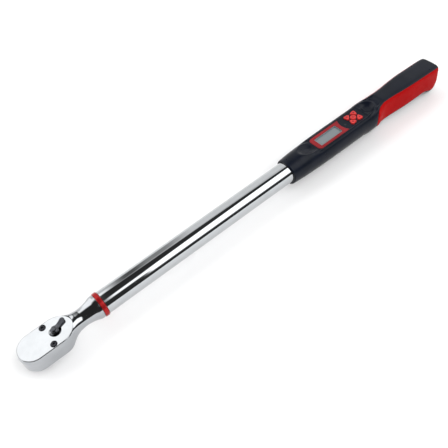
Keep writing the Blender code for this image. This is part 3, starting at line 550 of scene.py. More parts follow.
def grip_rubber():
    colours = ((0.32, 0.001, 0.0015), (0.35, 0.0015, 0.002))
    return plastic("grip_rubber", colours, (0.45, 0.6), 0.6, 0.010, 0.05)


def bezel_plastic():
    colours = ((0.20, 0.007, 0.011), (0.25, 0.011, 0.016))
    return plastic("bezel_plastic", colours, (0.42, 0.55), 0.3, 0.004, 0.22)


def key_rubber():
    colours = ((0.50, 0.022, 0.022), (0.58, 0.032, 0.030))
    return plastic("key_rubber", colours, (0.40, 0.52), 0.3, 0.004, 0.35)


def mark_ink():
    return plastic("mark_ink", ((0.12, 0.006, 0.008), (0.18, 0.010, 0.012)), (0.5, 0.6), 0.3, 0.002)


def display_glass():
    """Reflective display: grey with a faint grid of cells."""
    made, tree, shader = blank_material("display_glass")
    place = tree.nodes.new("ShaderNodeTexCoord")
    wave = tree.nodes.new("ShaderNodeTexWave")
    wave.inputs["Scale"].default_value = 420.0
    wave.inputs["Distortion"].default_value = 0.0
    tree.links.new(place.outputs["Object"], wave.inputs["Vector"])
    tint(tree, wave.outputs["Fac"], ((0.150, 0.172, 0.184), (0.168, 0.192, 0.204)),
         shader.inputs["Base Color"], (0.0, 1.0))
    spread_value(tree, grain(tree, 9.0), 0.16, 0.24, shader.inputs["Roughness"])
    return made


def display_frame():
    return plastic("display_frame", ((0.13, 0.17, 0.19), (0.16, 0.20, 0.22)), (0.3, 0.4), 0.3, 0.003)


def board_lacquer():
    return plastic("board_lacquer", ((0.012, 0.13, 0.05), (0.02, 0.18, 0.08)), (0.3, 0.42), 1.2, 0.01)


def smoked_lens():
    return plastic("smoked_lens", ((0.020, 0.022, 0.028), (0.030, 0.033, 0.040)), (0.15, 0.25), 0.5, 0.002)


def black_part():
    return plastic("black_part", ((0.010, 0.010, 0.011), (0.020, 0.020, 0.021)), (0.42, 0.56), 0.5, 0.006)


def cell_wrap():
    """Battery wrapper: dark, with one plain lighter band."""
    made, tree, shader = blank_material("cell_wrap")
    place = tree.nodes.new("ShaderNodeTexCoord")
    split = tree.nodes.new("ShaderNodeSeparateXYZ")
    tree.links.new(place.outputs["Object"], split.inputs["Vector"])
    cell_low, cell_high = span("battery_cell_left")
    along = remap(tree, split.outputs["X"], cell_low.x * MM, cell_high.x * MM)
    tint(tree, along, ((0.03, 0.03, 0.035), (0.45, 0.33, 0.14)),
         shader.inputs["Base Color"], (0.70, 0.73))
    spread_value(tree, grain(tree, 6.0), 0.25, 0.38, shader.inputs["Roughness"])
    shader.inputs["Metallic"].default_value = 0.3
    return made


def floor_paint():
    made, tree, shader = blank_material("floor_paint")
    tint(tree, grain(tree, 400.0), ((0.90, 0.90, 0.905), (0.93, 0.93, 0.93)), shader.inputs["Base Color"])
    spread_value(tree, grain(tree, 60.0), 0.75, 0.9, shader.inputs["Roughness"])
    shader.inputs["Specular IOR Level"].default_value = 0.1
    return made


materials = {
    "chrome": chrome(), "gunmetal": gunmetal(), "steel": steel(), "spring": spring_steel(),
    "brass": brass(), "red_anodised": red_anodised(), "casing": casing_plastic(),
    "grip_red": grip_rubber(), "bezel_red": bezel_plastic(), "key_red": key_rubber(),
    "display": display_glass(), "board_green": board_lacquer(), "black_part": black_part(),
    "cell": cell_wrap(),
}


def dress(piece, slot, body, *nodes, finish=None):
    """Gives a piece its finish and its body, and hides the CAD nodes that it stands for."""
    piece.data.materials.clear()
    piece.data.materials.append(finish or materials[slot])
    even_shading(piece)
    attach(piece, body)
    if nodes:
        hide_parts(*nodes)
    return piece


# Ratchet head ------------------------------------------------------------------------------------

def half_profile(half, top, bottom, round_top, round_bottom, lean=0.0):
    """Right half of a head section, (y, z) from the top's middle round to the bottom's middle."""
    shoulder = half - lean - round_top
    points = [(shoulder * i / 5, top) for i in range(5)]
    points += arc((shoulder, top - round_top), round_top, 90, 0, 9)
    upper = top - round_top - 3.5 * lean
    lower = -bottom + round_bottom
    points += [(half, upper + (lower - upper) * i / 6) for i in range(6)]
    points += arc((half - round_bottom, lower), round_bottom, 0, -90, 9)
    points += [((half - round_bottom) * i / 5, -bottom) for i in range(4, -1, -1)]
    return points


def round_profile(radius):
    """Right half of a round section, as many points as a head section has."""
    return half_profile(radius, radius, radius, radius * 0.999, radius * 0.999)


def head_ring(x, profile):
    """Whole section at x from its right half."""
    right = [(x, y, z) for y, z in profile]
    left = [(x, -y, z) for y, z in profile[-2:0:-1]]
    return right + left


def ratchet_head():
    """Head with its round nose, its neck, and the plug and beam that go into the tube."""
    bm = bmesh.new()
    nose = half_profile(*HEAD[0][1:])
    turns = 40
    rings = []
    for turn in range(turns + 1):
        angle = math.pi * turn / turns
        rings.append([(-r * math.sin(angle), r * math.cos(angle), z) for r, z in nose])
    skin(bm, rings, closed=False, caps=False)
    body = []
    stations = HEAD + tuple((x, r, r, r, r * 0.999, r * 0.999, 0.0) for x, r in NECK)
    neck_end = NECK[-1][0]
    for x in [0.0, 13.0] + spread(26.0, neck_end, 0.9):
        body.append(head_ring(x, half_profile(*blended(stations, x))))
    inner = BAND_RADIUS - 3.5
    for x in (neck_end, PLUG_END):
        body.append(head_ring(x, round_profile(inner)))
    for x in (PLUG_END, BEAM_END):
        body.append(head_ring(x, half_profile(4.0, 8.0, 8.0, 1.0, 1.0)))
    for x in (BEAM_END, HEAD_END):
        body.append(head_ring(x, round_profile(3.8)))
    made = skin(bm, body, caps=False)
    bm.faces.new(made[-1])
    return finish_mesh("ratchet_head_forging", bm, 40)


def cover_outline(grow=0.0, steps=40):
    """Teardrop of the top plate in plan."""
    outline = arc((0, 0), COVER_RADIUS + grow, 90, 270, steps)
    for step in range(steps + 1):
        angle = -math.pi / 2 + math.pi * step / steps
        outline.append((COVER_ARCH_X + (COVER_ARCH + grow) * math.cos(angle),
                        (COVER_RADIUS + grow) * math.sin(angle)))
    return outline


def head_pieces():
    """Head with the pockets of its ratchet, and the top plate that closes them."""
    head = ratchet_head()
    seat = COVER_SEAT - 0.3
    drive_end = span("drive_gear")[0].z - AXIS_Z
    lever_bore = circle((LEVER_X, 0), LEVER_BORE)
    above = COVER_TOP + 8
    pocket = rounded(((8, -10.1), (24.3, -10.1), (24.3, 10.1), (8, 10.1)), (0.5, 2.5, 2.5, 0.5))
    carve(head,
          prism("cut_seat", [cover_outline(0.25)], seat, above),
          prism("cut_gear", [circle((0, 0), GEAR_POCKET, 60)], GEAR_POCKET_FLOOR, above + 1),
          prism("cut_journal", [circle((0, 0), JOURNAL_BORE, 60)], drive_end - 5, GEAR_POCKET_FLOOR + 1),
          prism("cut_pawl", [pocket], GEAR_POCKET_FLOOR + 0.05, above + 2),
          prism("cut_lever", [lever_bore], GEAR_POCKET_FLOOR + 0.1, above + 3))
    dress(head, "chrome", "frame", "ratchet_head", finish=satin_chrome())

    holes = [lever_bore]
    for side in (1, -1):
        holes.append(circle((SCREW_X, side * SCREW_Y), SCREW_RADIUS + 0.3))
    cover = prism("head_top_plate", [cover_outline()] + holes, COVER_SEAT, COVER_TOP, 0.35, 4)
    recess = ((7.2, COVER_TOP + 1), (7.2, COVER_TOP + 0.1), (6.8, COVER_TOP - 0.2), (5.2, COVER_TOP - 1.0),
              (0.01, COVER_TOP - 1.0), (0.01, COVER_TOP + 1))
    carve(cover, turned("cut_recess", recess, 72, (LEVER_X, 0)))
    dress(cover, "chrome", "frame", "head_cover")


def cover_screw(name, side):
    """Domed socket screw."""
    top = COVER_TOP + 0.3
    reach = SCREW_RADIUS
    profile = [(1.55, top - 1.4), (1.55, top - 0.25), (1.75, top), (2.3, top)]
    profile += arc((reach - 0.8, top - 0.8), 0.8, 80, 0, 5)
    profile += [(reach, COVER_TOP - 1.7), (1.9, COVER_TOP - 1.7), (1.9, COVER_SEAT - 9),
                (0.01, COVER_SEAT - 9.3), (0.01, top - 1.4)]
    screw = turned(name + "_socket_head", profile, 48, (SCREW_X, side * SCREW_Y))
    dress(screw, "gunmetal", "frame", name)


def lever_outline(reach, tip, waist):
    """Arm of the reversing lever in plan, from its hub to its rounded tip."""
    outline = arc((0, 0), 4.7, 38, 322, 30)
    outline += [(5.2, -waist - 0.3), (7.0, -waist), (reach - 3.6, -waist - 0.1)]
    outline += arc((reach, 0), tip, -105, 105, 18)
    outline += [(reach - 3.6, waist + 0.1), (7.0, waist), (5.2, waist + 0.3)]
    placed = [(LEVER_X + x, y) for x, y in outline]
    return [turn_about(point, (LEVER_X, 0.0), LEVER_ANGLE) for point in placed]


def reversing_lever():
    """Domed hub on its shaft, and a grooved arm."""
    top = COVER_TOP
    shaft_end = span("reversing_lever")[0].z - AXIS_Z
    profile = [(0.01, top + 4.3)]
    profile += arc((1.4, top + 1.3), 3.0, 88, 12, 8)
    profile += [(4.55, top + 0.9), (4.6, top - 0.5), (3.5, top - 0.5), (3.5, shaft_end), (0.01, shaft_end)]
    hub = turned("lever_hub", profile, 56, (LEVER_X, 0))
    arm = prism("lever_arm", [lever_outline(13.3, 2.9, 2.2)], top + 0.35, top + 3.5, 1.1, 6)
    groove = ((6.6, -0.5), (13.6, -0.5), (13.6, 0.5), (6.6, 0.5))
    placed = [turn_about((LEVER_X + x, y), (LEVER_X, 0.0), LEVER_ANGLE) for x, y in groove]
    carve(arm, prism("cut_groove", [rounded(placed, (0.45,) * 4)], top + 3.0, top + 4.0))
    lever = merge("reversing_lever_forged", [hub, arm])
    dress(lever, "gunmetal", "lever", "reversing_lever", finish=blued_steel())


# Tube and band -----------------------------------------------------------------------------------

def tube():
    inner = TUBE_RADIUS - 2.0
    start = tube_low.x
    end = tube_high.x
    profile = [(inner, start + 0.3), (inner + 0.3, start), (TUBE_RADIUS - 0.4, start)]
    profile += [(TUBE_RADIUS, start + 0.4), (TUBE_RADIUS, end), (inner, end)]
    dress(turned("polished_tube", profile, 128, along_x=True), "chrome", "frame", "tube")


def trim_band():
    inner = BAND_RADIUS - 3.2
    profile = [(inner, BAND_END), (inner, BAND_START)]
    profile += [(r, x) for x, r in arc((BAND_START + 0.6, BAND_RADIUS - 0.6), 0.6, 180, 90, 5)]
    profile += [(r, x) for x, r in arc((BAND_END - 0.6, BAND_RADIUS - 0.6), 0.6, 90, 0, 5)]
    dress(turned("anodised_band", profile, 112, along_x=True), "red_anodised", "frame", "trim_band")


# Casing ------------------------------------------------------------------------------------------

RIM_HALF = 12.6                 # half width inside the deck's raised rim
ARCH_START = 497.0              # the rim closes in an arch behind this
ARCH_LENGTH = 18.6
SCOOP_X = 396.0                 # middle of the dished scoop ahead of the display
SCOOP_LENGTH = 16.5
SCOOP_HALF = 10.2
WALL = 2.3                      # wall of the console; the handle's is thicker
HANDLE_WALL = 4.2
TUBE_BORE_END = 389.6
HEEL_SOLID = 627.0              # the shells are solid behind this
CASING_SCREWS = ("front_left", "front_right", "middle_left", "middle_right", "heel")


def rim_distance(x, y):
    """Distance outside the line of the deck's rim."""
    if x > ARCH_START:
        along = (x - ARCH_START) / ARCH_LENGTH
        return (math.hypot(along, y / RIM_HALF) - 1) * (RIM_HALF + 3 * along)
    return abs(y) - RIM_HALF


def deck_relief(x, y):
    """Height of the mouldings on the console's deck, over its plain surface."""
    distance = rim_distance(x, y)
    # thin rim round the deck
    rim = fade(x, 404, 414) * (1 - fade(x, 512, 524) * (abs(y) > RIM_HALF))
    height = rim * 0.6 * bump(distance, 0.75)
    # raised arch behind the keys, the dish inside it, and the dish's front edge
    arch = fade(x, 490, 503)
    height += arch * 1.1 * bump(distance - 0.9, 1.6)
    dish = math.hypot((x - 506.0) / 10.5, y / 11.6)
    height -= 3.0 * (1 - fade(dish, 0.35, 1.0)) * fade(x, 494, 500)
    height += 0.55 * bump(x - 496.6, 1.2) * (1 - fade(abs(y), 10.5, 12.5))
    # scoop ahead of the display, and its raised edge
    scoop = math.hypot((x - SCOOP_X) / SCOOP_LENGTH, y / SCOOP_HALF)
    height -= 2.4 * (1 - fade(scoop, 0.25, 0.95)) * (1 - fade(x, 404, 409))
    height += 0.8 * bump((scoop - 1.04) * 9, 1.0) * (1 - fade(x, 403, 410)) * fade(x, 377, 386)
    return height


class Section:
    """One section of the casing, drawn in by an inset."""

    def __init__(self, x, inset=0.0):
        half, top, bottom, deck, self.upper, self.lower = blended(CASING, x)
        front = max(1.0 - (x - CASING_START) / 1.2, 0.0)
        rear = max(1.0 - (CASING_END - x) / 1.8, 0.0)
        inset += 1.0 * (1 - math.sqrt(1 - front ** 2)) + 1.6 * (1 - math.sqrt(1 - rear ** 2))
        self.x = x
        self.half = half - inset
        self.top = top - inset
        self.bottom = bottom - inset
        self.deck = deck - inset
        self.plain = inset > 1.8        # the inside skin has no mouldings

    def shifted(self, y):
        """x of a point: the collar's rim and the heel's rear face are curved in plan."""
        share = (y / self.half) ** 2
        front = 1.2 * share * (1 - fade(self.x, CASING_START, 372))
        rear = 0.9 * share * fade(self.x, 612, CASING_END)
        return self.x + front - rear

    def upper_height(self, y):
        over = max(1 - abs(y / self.half) ** self.upper, 0.0)
        curve = self.top * over ** (1 / self.upper)
        shoulder = 3.6 * fade(abs(y), 7.0, 13.0) * fade(self.x, 509, 518)
        cutter = self.deck + shoulder + (0.0 if self.plain else deck_relief(self.x, y))
        return smooth_min(curve, cutter, 0.9)

    def lower_height(self, y):
        over = max(1 - abs(y / self.half) ** self.lower, 0.0)
        return -self.bottom * over ** (1 / self.lower)

    def side(self, z):
        """Half width at a height."""
        if z >= 0:
            over = max(1 - (z / self.top) ** self.upper, 0.0)
            return self.half * over ** (1 / self.upper)
        over = max(1 - (-z / self.bottom) ** self.lower, 0.0)
        return self.half * over ** (1 / self.lower)

    def arch(self, split, height, strip=72, flank=20):
        """Points from the split on the left over the section to the split on the right."""
        reach = 0.86 * self.half
        edge = height(reach)
        flank_points = []
        for i in range(flank):
            z = split + (edge - split) * i / flank
            flank_points.append((self.side(z), z))
        points = list(flank_points)
        for i in range(strip + 1):
            y = reach * (1 - 2 * i / strip)
            points.append((y, height(y)))
        points += [(-y, z) for y, z in reversed(flank_points)]
        return points


def casing_stations():
    """Places of the casing's sections, close together at its ends and mouldings."""
    stations = [CASING_START + d for d in (0, 0.15, 0.4, 0.8, 1.2)]
    stations += spread(CASING_START + 2, 524, 0.9)
    stations += spread(525.5, 606, 1.5)
    stations += spread(607, CASING_END - 2, 0.8)
    stations += [CASING_END - d for d in (1.8, 1.4, 1.0, 0.6, 0.3, 0.1, 0.0)]
    return stations


def tube_hole(split, sign, count):
    """Bore for the tube in a shell's section, as many points as its outside has."""
    radius = TUBE_RADIUS + 0.3
    start = math.asin(split / radius)
    sweep = sign * math.pi - 2 * start
    points = []
    for i in range(count):
        angle = start + sweep * i / (count - 1)
        points.append((radius * math.cos(angle), radius * math.sin(angle)))
    return points


def casing_shell(name, sign):
    """Upper or lower shell: its outside skin, and an inside skin drawn in by the wall."""
    split = SPLIT + 0.12 * sign
    rings = []
    for x in casing_stations():
        outside = Section(x)
        inside = Section(x, WALL + (HANDLE_WALL - WALL) * fade(x, 488, 498))
        if sign > 0:
            outer = outside.arch(split, outside.upper_height)
            inner = inside.arch(split, inside.upper_height)
        else:
            outer = outside.arch(split, outside.lower_height)
            inner = inside.arch(split, inside.lower_height)
        if x < TUBE_BORE_END:
            inner = tube_hole(split, sign, len(outer))
        ring = [(outside.shifted(y), y, z) for y, z in outer]
        if x < HEEL_SOLID:
            ring += [(outside.shifted(y), y, z) for y, z in reversed(inner)]
        else:
            ring += [(outside.shifted(y), y * 0.5, split) for y, z in reversed(outer)]
        rings.append(ring)
    bm = bmesh.new()
    skin(bm, rings)
    return finish_mesh(name, bm, 30)


# Grip panel's edges seen from the side, (x, z) from the tube's axis
PANEL_FRONT = ((508.0, -12.4), (506.6, -6.5), (506.4, -0.5), (507.6, 5.4), (511.5, 10.9), (517.0, 13.8),
               (526.0, 15.5))
PANEL_TOP = ((526.0, 15.5), (540.0, 15.4), (562.0, 15.2), (578.0, 14.9), (594.0, 14.2), (611.0, 13.7),
             (631.4, 12.6))
PANEL_BOTTOM = ((508.0, -12.4), (516.0, -15.4), (530.0, -14.6), (545.0, -14.4), (578.0, -14.4),
                (606.0, -14.4), (613.0, -16.6), (620.0, -20.2), (626.0, -21.0), (631.4, -12.8))
PANEL_LENGTH = 124.0
PANEL_HEIGHT = 33.0


def along_line(points, share):
    """Point at a share of a polyline's length, rounded by averaging its neighbourhood."""
    lengths = [math.dist(a, b) for a, b in zip(points, points[1:])]
    total = sum(lengths)
    picked = []
    for offset in (-0.03, 0.0, 0.03):
        left = min(max(share + offset * min(share, 1 - share) * 4, 0.0), 1.0) * total
        for (a, b), length in zip(zip(points, points[1:]), lengths):
            if left <= length or (a, b) == (points[-2], points[-1]):
                t = min(left / length, 1.0)
                picked.append((a[0] + (b[0] - a[0]) * t, a[1] + (b[1] - a[1]) * t))
                break
            left -= length
    return tuple(sum(p[k] for p in picked) / len(picked) for k in (0, 1))


def panel_point(u, v, grow):
    """Side-view point of the panel: u runs to the rear and v up, both from 0 to 1."""
    bottom = Vector(along_line(PANEL_BOTTOM, u))
    top = Vector(along_line(PANEL_TOP, u))
    front = Vector(along_line(PANEL_FRONT, v))
    rear = Vector(PANEL_BOTTOM[-1]).lerp(Vector(PANEL_TOP[-1]), v)
    corners = (Vector(PANEL_BOTTOM[0]) * (1 - u) * (1 - v) + Vector(PANEL_BOTTOM[-1]) * u * (1 - v)
               + Vector(PANEL_TOP[0]) * (1 - u) * v + Vector(PANEL_TOP[-1]) * u * v)
    point = bottom * (1 - v) + top * v + front * (1 - u) + rear * u - corners
    push = Vector((-(1 - 2 * u) if u in (0, 1) else 0.0, (2 * v - 1) if v in (0, 1) else 0.0))
    return point + push * grow


def ticks(length, fine, coarse):
    """Shares of a length, close together near both ends."""
    near = [0.0, 0.15, 0.35, 0.6, 0.9, 1.3, 1.9, 2.7]
    middle = spread(4.0, length - 4.0, coarse)
    marks = [d * fine for d in near] + middle + [length - d * fine for d in reversed(near)]
    return [mark / length for mark in marks]


def panel_solid(name, side, grow, outer, inner, rounding):
    """Grip panel, or the recess that it lies in, as a closed solid between two depths."""
    across = ticks(PANEL_LENGTH, 1.0, 2.0)
    upward = ticks(PANEL_HEIGHT, 1.0, 1.3)

    def surface(depth, edge):
        rows = []
        for u in across:
            row = []
            for v in upward:
                x, z = panel_point(u, v, grow)
                near = min(u * PANEL_LENGTH, (1 - u) * PANEL_LENGTH, v * PANEL_HEIGHT, (1 - v) * PANEL_HEIGHT)
                t = min(near / edge, 1.0) if edge else 1.0
                raised = depth - (1 - math.sqrt(1 - (1 - t) ** 2)) * rounding
                section = Section(min(x, CASING_END - 0.5), -raised)
                z = min(z, section.top * 0.985)
                row.append((section.shifted(section.half * 0.9), side * section.side(z), z))
            rows.append(row)
        return rows

    return slab(name, surface(outer, 1.3 if rounding else 0.0), surface(inner, 0.0))


def bezel_outline(grow=0.0, steps=20):
    """Display frame in plan: rounded front, and a hollow rear that leaves the keypad free."""
    front = BEZEL_FRONT - grow
    half = BEZEL_HALF + grow
    radius = BEZEL_ARC - grow
    corner = 5.0 + grow
    reach = math.degrees(math.asin(half / radius))
    outline = arc((front + corner, -half + corner), corner, 180, 270, 10)
    outline += arc((KEYPAD_X, 0), radius, 180 + reach, 180 - reach, steps)
    outline += arc((front + corner, half - corner), corner, 90, 180, 10)
    return outline


def petal_outline(turn, grow=0.0):
    """One of the four keys round the middle one: a rounded triangle that points outward."""
    corners = ((5.2 - grow, -4.1 - grow), (7.6, -4.3 - grow), (13.7 + grow, 0.0),
               (7.6, 4.3 + grow), (5.2 - grow, 4.1 + grow))
    local = rounded(corners, (1.0, 2.0, 2.0, 2.0, 1.0), 6)
    return [turn_about((KEYPAD_X + u, v), (KEYPAD_X, 0), turn) for u, v in local]


PETALS = (
    ("key_rear_left", PETAL_ANGLE),
    ("key_front_left", math.pi - PETAL_ANGLE),
    ("key_front_right", math.pi + PETAL_ANGLE),
    ("key_rear_right", -PETAL_ANGLE),
)


def casing():
    """Both shells with their openings, and the grip panels in their recesses."""
    upper = casing_shell("casing_shell_upper", 1)
    lower = casing_shell("casing_shell_lower", -1)
    well = DECK - 6.2
    above = DECK + 6
    window = rectangle(DISPLAY_X - 17.5, DISPLAY_X + 17.5, -6.3, 6.3, 0.5)
    indicator_low, indicator_high = span("indicator")
    spot = ((indicator_low.x + indicator_high.x) / 2, (indicator_low.y + indicator_high.y) / 2)
    wells = [prism("cut_window", [window], well, above),
             prism("cut_centre", [circle((KEYPAD_X, 0), KEY_RADIUS + 0.3)], well, above),
             prism("cut_indicator", [circle(spot, 1.3, 18)], well, above)]
    for name, turn in PETALS:
        wells.append(prism("cut_" + name, [petal_outline(turn, 0.3)], well, above))
    recesses = [panel_solid("cut_panel_%+d" % side, side, 0.3, 3.0, -2.1, 0.0) for side in (1, -1)]
    upper_recess = merge("cut_panels", recesses)
    lower_recess = put("cut_panels_copy", upper_recess.data.copy())
    carve(upper, prism("cut_bezel", [bezel_outline(0.25)], DECK - 1.8, above - 1), merge("cut_wells", wells),
          upper_recess)

    opening = rectangle(hatch_low.x - 0.4, hatch_high.x + 0.5, hatch_low.y - 0.3, hatch_high.y + 0.3, 1.2)
    holes = [prism("cut_battery", [opening], -40, -9.0)]
    for place in CASING_SCREWS:
        low, high = span("casing_screw_" + place)
        centre = ((low.x + high.x) / 2, (low.y + high.y) / 2)
        holes.append(prism("cut_" + place, [circle(centre, 2.8, 24)], -45, low.z - AXIS_Z + 2.3))
    carve(lower, merge("cut_openings", holes), lower_recess)
    dress(upper, "casing", "frame", "housing_upper")
    dress(lower, "casing", "frame", "housing_lower")

    for name, side in (("grip_panel_left", 1), ("grip_panel_right", -1)):
        panel = panel_solid(name + "_moulding", side, 0.0, 0.25, -1.6, 0.9)
        dress(panel, "grip_red", "frame", name)


def casing_screws():
    """Socket-head screws sunk in wells under the casing."""
    for place in CASING_SCREWS:
        node = "casing_screw_" + place
        low, high = span(node)
        head = low.z - AXIS_Z + 1.3
        radius = (high.x - low.x) / 2
        profile = [(0.01, head + 1.3), (1.25, head + 1.3), (1.25, head + 0.2), (1.4, head),
                   (radius - 0.4, head), (radius, head + 0.4), (radius, head + 1.9), (1.3, head + 1.9),
                   (1.3, high.z - AXIS_Z), (0.01, high.z - AXIS_Z)]
        screw = turned(node + "_socket", profile, 32, ((low.x + high.x) / 2, (low.y + high.y) / 2))
        dress(screw, "steel", "frame", node)


def battery_hatch():
    """Cover under the handle: a patch of the casing's skin with rounded edges."""
    length = hatch_high.x - hatch_low.x - 1.0
    width = hatch_high.y - hatch_low.y
    layers = []
    for thickness, rounding in ((0.0, 0.6), (2.0, 0.0)):
        rows = []
        for u in ticks(length, 0.5, 3.0):
            section = Section(hatch_low.x + u * length)
            row = []
            for v in ticks(width, 0.5, 2.0):
                near = min(u * length, (1 - u) * length, v * width, (1 - v) * width)
                t = min(near / 0.7, 1.0)
                raised = (1 - math.sqrt(1 - (1 - t) ** 2)) * rounding
                y = hatch_low.y + v * width
                row.append((section.x, y, section.lower_height(y) + thickness + raised))
            rows.append(row)
        layers.append(rows)
    dress(slab("battery_hatch", *layers), "casing", "battery_cover", "battery_cover")


# Console -----------------------------------------------------------------------------------------

def window_outline(inset, radius):
    """Display's opening in plan, drawn in by an inset."""
    return rectangle(DISPLAY_X - DISPLAY_HALF + inset, DISPLAY_X + DISPLAY_HALF - inset,
                     -DISPLAY_SIDE + inset, DISPLAY_SIDE - inset, radius)


def display():
    """Red surround, and in it a thin frame and the glass."""
    outlines = [bezel_outline(), window_outline(0.0, 0.8)]
    bezel = prism("display_surround", outlines, DECK - 1.7, DECK + 0.35, 0.25, 3)
    dress(bezel, "bezel_red", "frame", "display_bezel")
    edge = window_outline(0.1, 0.7)
    within = window_outline(0.8, 0.4)
    ring = prism("display_inner_frame", [edge, within], DECK - 1.75, DECK - 0.15, 0.12, 2)
    dress(ring, "display", "frame", finish=display_frame())
    glass = prism("display_glass_plate", [edge], DECK - 2.6, DECK - 1.5, 0.1, 2)
    dress(glass, "display", "frame", "display_window")


def mark_on_key(name, outlines, body, ink):
    """Printed mark, a hair above the key's face."""
    piece = prism(name + "_mark", outlines, KEY_TOP - 0.1, KEY_TOP + 0.06)
    dress(piece, "key_red", body, finish=ink)


def keys():
    """Round middle key with a ring on it, and four petals with arrows; each has a flange inside."""
    ink = mark_ink()
    base = DECK - 3.0
    flange = prism("centre_flange", [circle((KEYPAD_X, 0), KEY_RADIUS + 0.25)], base - 0.5, base + 0.3)
    cap = prism("centre_cap", [circle((KEYPAD_X, 0), KEY_RADIUS)], base, KEY_TOP, 0.55, 4)
    dress(merge("key_centre_cap", [cap, flange]), "key_red", "key_centre", "key_centre")
    mark_on_key("key_centre", [arc((KEYPAD_X, 0), 1.6, 0, 350, 24), arc((KEYPAD_X, 0), 1.05, 0, 350, 24)],
                "key_centre", ink)
    for name, turn in PETALS:
        cap = prism(name + "_top", [petal_outline(turn)], base, KEY_TOP, 0.55, 4)
        flange = prism(name + "_flange", [petal_outline(turn, 0.2)], base - 0.5, base + 0.3)
        dress(merge(name + "_cap", [cap, flange]), "key_red", name, name)
        arrow = ((7.4, -1.4), (9.9, 0.0), (7.4, 1.4))
        outline = [turn_about((KEYPAD_X + u, v), (KEYPAD_X, 0), turn) for u, v in arrow]
        mark_on_key(name, [outline], name, ink)


# Studio ------------------------------------------------------------------------------------------

def card(tree, base, angle, along, level, taper=0.0):
    """Mixes a studio card into the sky: a block of angle round the X axis and of reach along X.

    A tapered card loses that many degrees from each side per unit of reach."""
    inside = None
    for source, (start, end, soft) in (angle, along):
        for middle, rises in ((start, 1.0), (end, 0.0)):
            edge = source
            if taper and source == angle[0]:
                edge = calculate(tree, "MULTIPLY_ADD", along[0], taper - 2.0 * taper * rises, source)
            step = remap(tree, edge, middle - soft, middle + soft, 1.0 - rises, rises, "SMOOTHSTEP")
            inside = calculate(tree, "MULTIPLY", inside, step) if inside else step
    mix = tree.nodes.new("ShaderNodeMix")
    mix.data_type = "FLOAT"
    mix.inputs["B"].default_value = level
    tree.links.new(inside, mix.inputs["Factor"])
    tree.links.new(base, mix.inputs["A"])
    return mix.outputs["Result"]


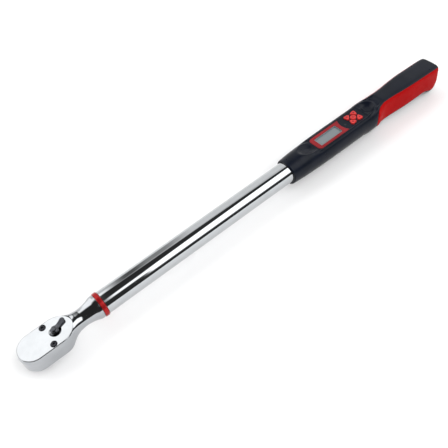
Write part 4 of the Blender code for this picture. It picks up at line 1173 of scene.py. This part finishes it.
def sky():
    """Soft studio of long cards that lie parallel to the tube; angles run from +Y up through +Z."""
    world = bpy.data.worlds.new("studio")
    world.use_nodes = True
    bpy.context.scene.world = world
    tree = world.node_tree
    place = tree.nodes.new("ShaderNodeTexCoord")
    split = tree.nodes.new("ShaderNodeSeparateXYZ")
    tree.links.new(place.outputs["Generated"], split.inputs["Vector"])
    turn = calculate(tree, "ARCTAN2", split.outputs["Z"], split.outputs["Y"])
    angle = calculate(tree, "MULTIPLY", turn, 180 / math.pi)
    along = split.outputs["X"]
    start = tree.nodes.new("ShaderNodeValue")
    start.outputs["Value"].default_value = 0.9
    light = start.outputs["Value"]
    cards = (
        ((-60, 62, 3), (-2.0, 2.0, 0.1), 1.1, 0),       # pale wall behind
        ((8, 60, 6), (0.125, 0.26, 0.035), 0.40, 0),    # darker part of it
        ((12, 58, 5), (0.145, 0.185, 0.015), 0.14, 0),
        ((34, 66, 3), (-1.0, 0.12, 0.02), 1.85, 0),     # overhead light over the head
        ((-50, 66, 3), (-1.0, -0.06, 0.03), 2.0, 0),    # and its wider near end
        ((102, 150, 3), (0.19, 2.0, 0.01), 2.6, 0),     # strip light
        ((115, 134, 4), (0.12, 0.2, 0.015), 2.2, 0),    # and its narrow front end
        ((70, 190, 3), (-2.0, 0.11, 0.015), 0.04, 0),   # dark room over the neck
        ((53, 123, 3), (0.10, 2.0, 0.015), 0.04, 56.0),  # black flag, narrower towards the handle
        ((137, 190, 3), (0.08, 0.19, 0.01), 0.04, 0),   # dark room beyond the camera
        ((155, 190, 3), (0.18, 2.0, 0.01), 0.05, 0),
    )
    for angles, reach, level, taper in cards:
        light = card(tree, light, (angle, angles), (along, reach), level, taper)
    background = tree.nodes["Background"]
    background.inputs["Color"].default_value = (1.0, 1.0, 1.0, 1.0)
    tree.links.new(light, background.inputs["Strength"])


def studio():
    """Sky, floor and two soft lamps."""
    sky()
    bpy.ops.mesh.primitive_plane_add(size=8.0, location=(0.3, 0.0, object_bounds()[0][2] - 0.0002))
    floor = bpy.context.active_object
    floor.name = "floor"
    floor.data.materials.append(floor_paint())
    floor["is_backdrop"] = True
    for name, place, size, power in (
            ("softbox_front", (0.1, -1.3, 1.1), 1.6, 18.0),
            ("softbox_above", (0.3, 0.0, 1.8), 1.6, 8.0)):
        lamp = bpy.data.lights.new(name, "AREA")
        lamp.size = size
        lamp.energy = power
        obj = bpy.data.objects.new(name, lamp)
        obj.location = place
        aim = Vector((0.35, 0.0, 0.03)) - Vector(place)
        obj.rotation_euler = aim.to_track_quat("-Z", "Y").to_euler()
        obj.visible_glossy = False
        bpy.context.scene.collection.objects.link(obj)


def camera():
    """Camera above the head, that looks along the tube to the handle."""
    lens = bpy.data.cameras.new("camera")
    lens.lens = 50.0
    lens.sensor_width = 36.0
    view = bpy.data.objects.new("camera", lens)
    right = Vector((0.76756, -0.62958, -0.1203))
    down = Vector((-0.55118, -0.5525, -0.62526))
    forward = Vector((0.32719, 0.54623, -0.77109))
    turn = Matrix((right, -down, -forward)).transposed().to_4x4()
    view.matrix_world = Matrix.Translation((0.0112, -0.4118, 0.5945)) @ turn
    bpy.context.scene.collection.objects.link(view)
    bpy.context.scene.camera = view


def carried_over():
    """Finishes for the CAD nodes that stay as they are."""
    for part in frame["record"]["subparts"]:
        node = frame["nodes"][part["node"]]
        node.data.materials.clear()
        node.data.materials.append(materials[part["material_slot"]])


carried_over()
frame["nodes"]["indicator"].data.materials[0] = smoked_lens()
head_pieces()
cover_screw("cover_screw_left", 1)
cover_screw("cover_screw_right", -1)
reversing_lever()
tube()
trim_band()
casing()
casing_screws()
battery_hatch()
display()
keys()
studio()
camera()
bpy.context.scene.view_settings.view_transform = "Standard"
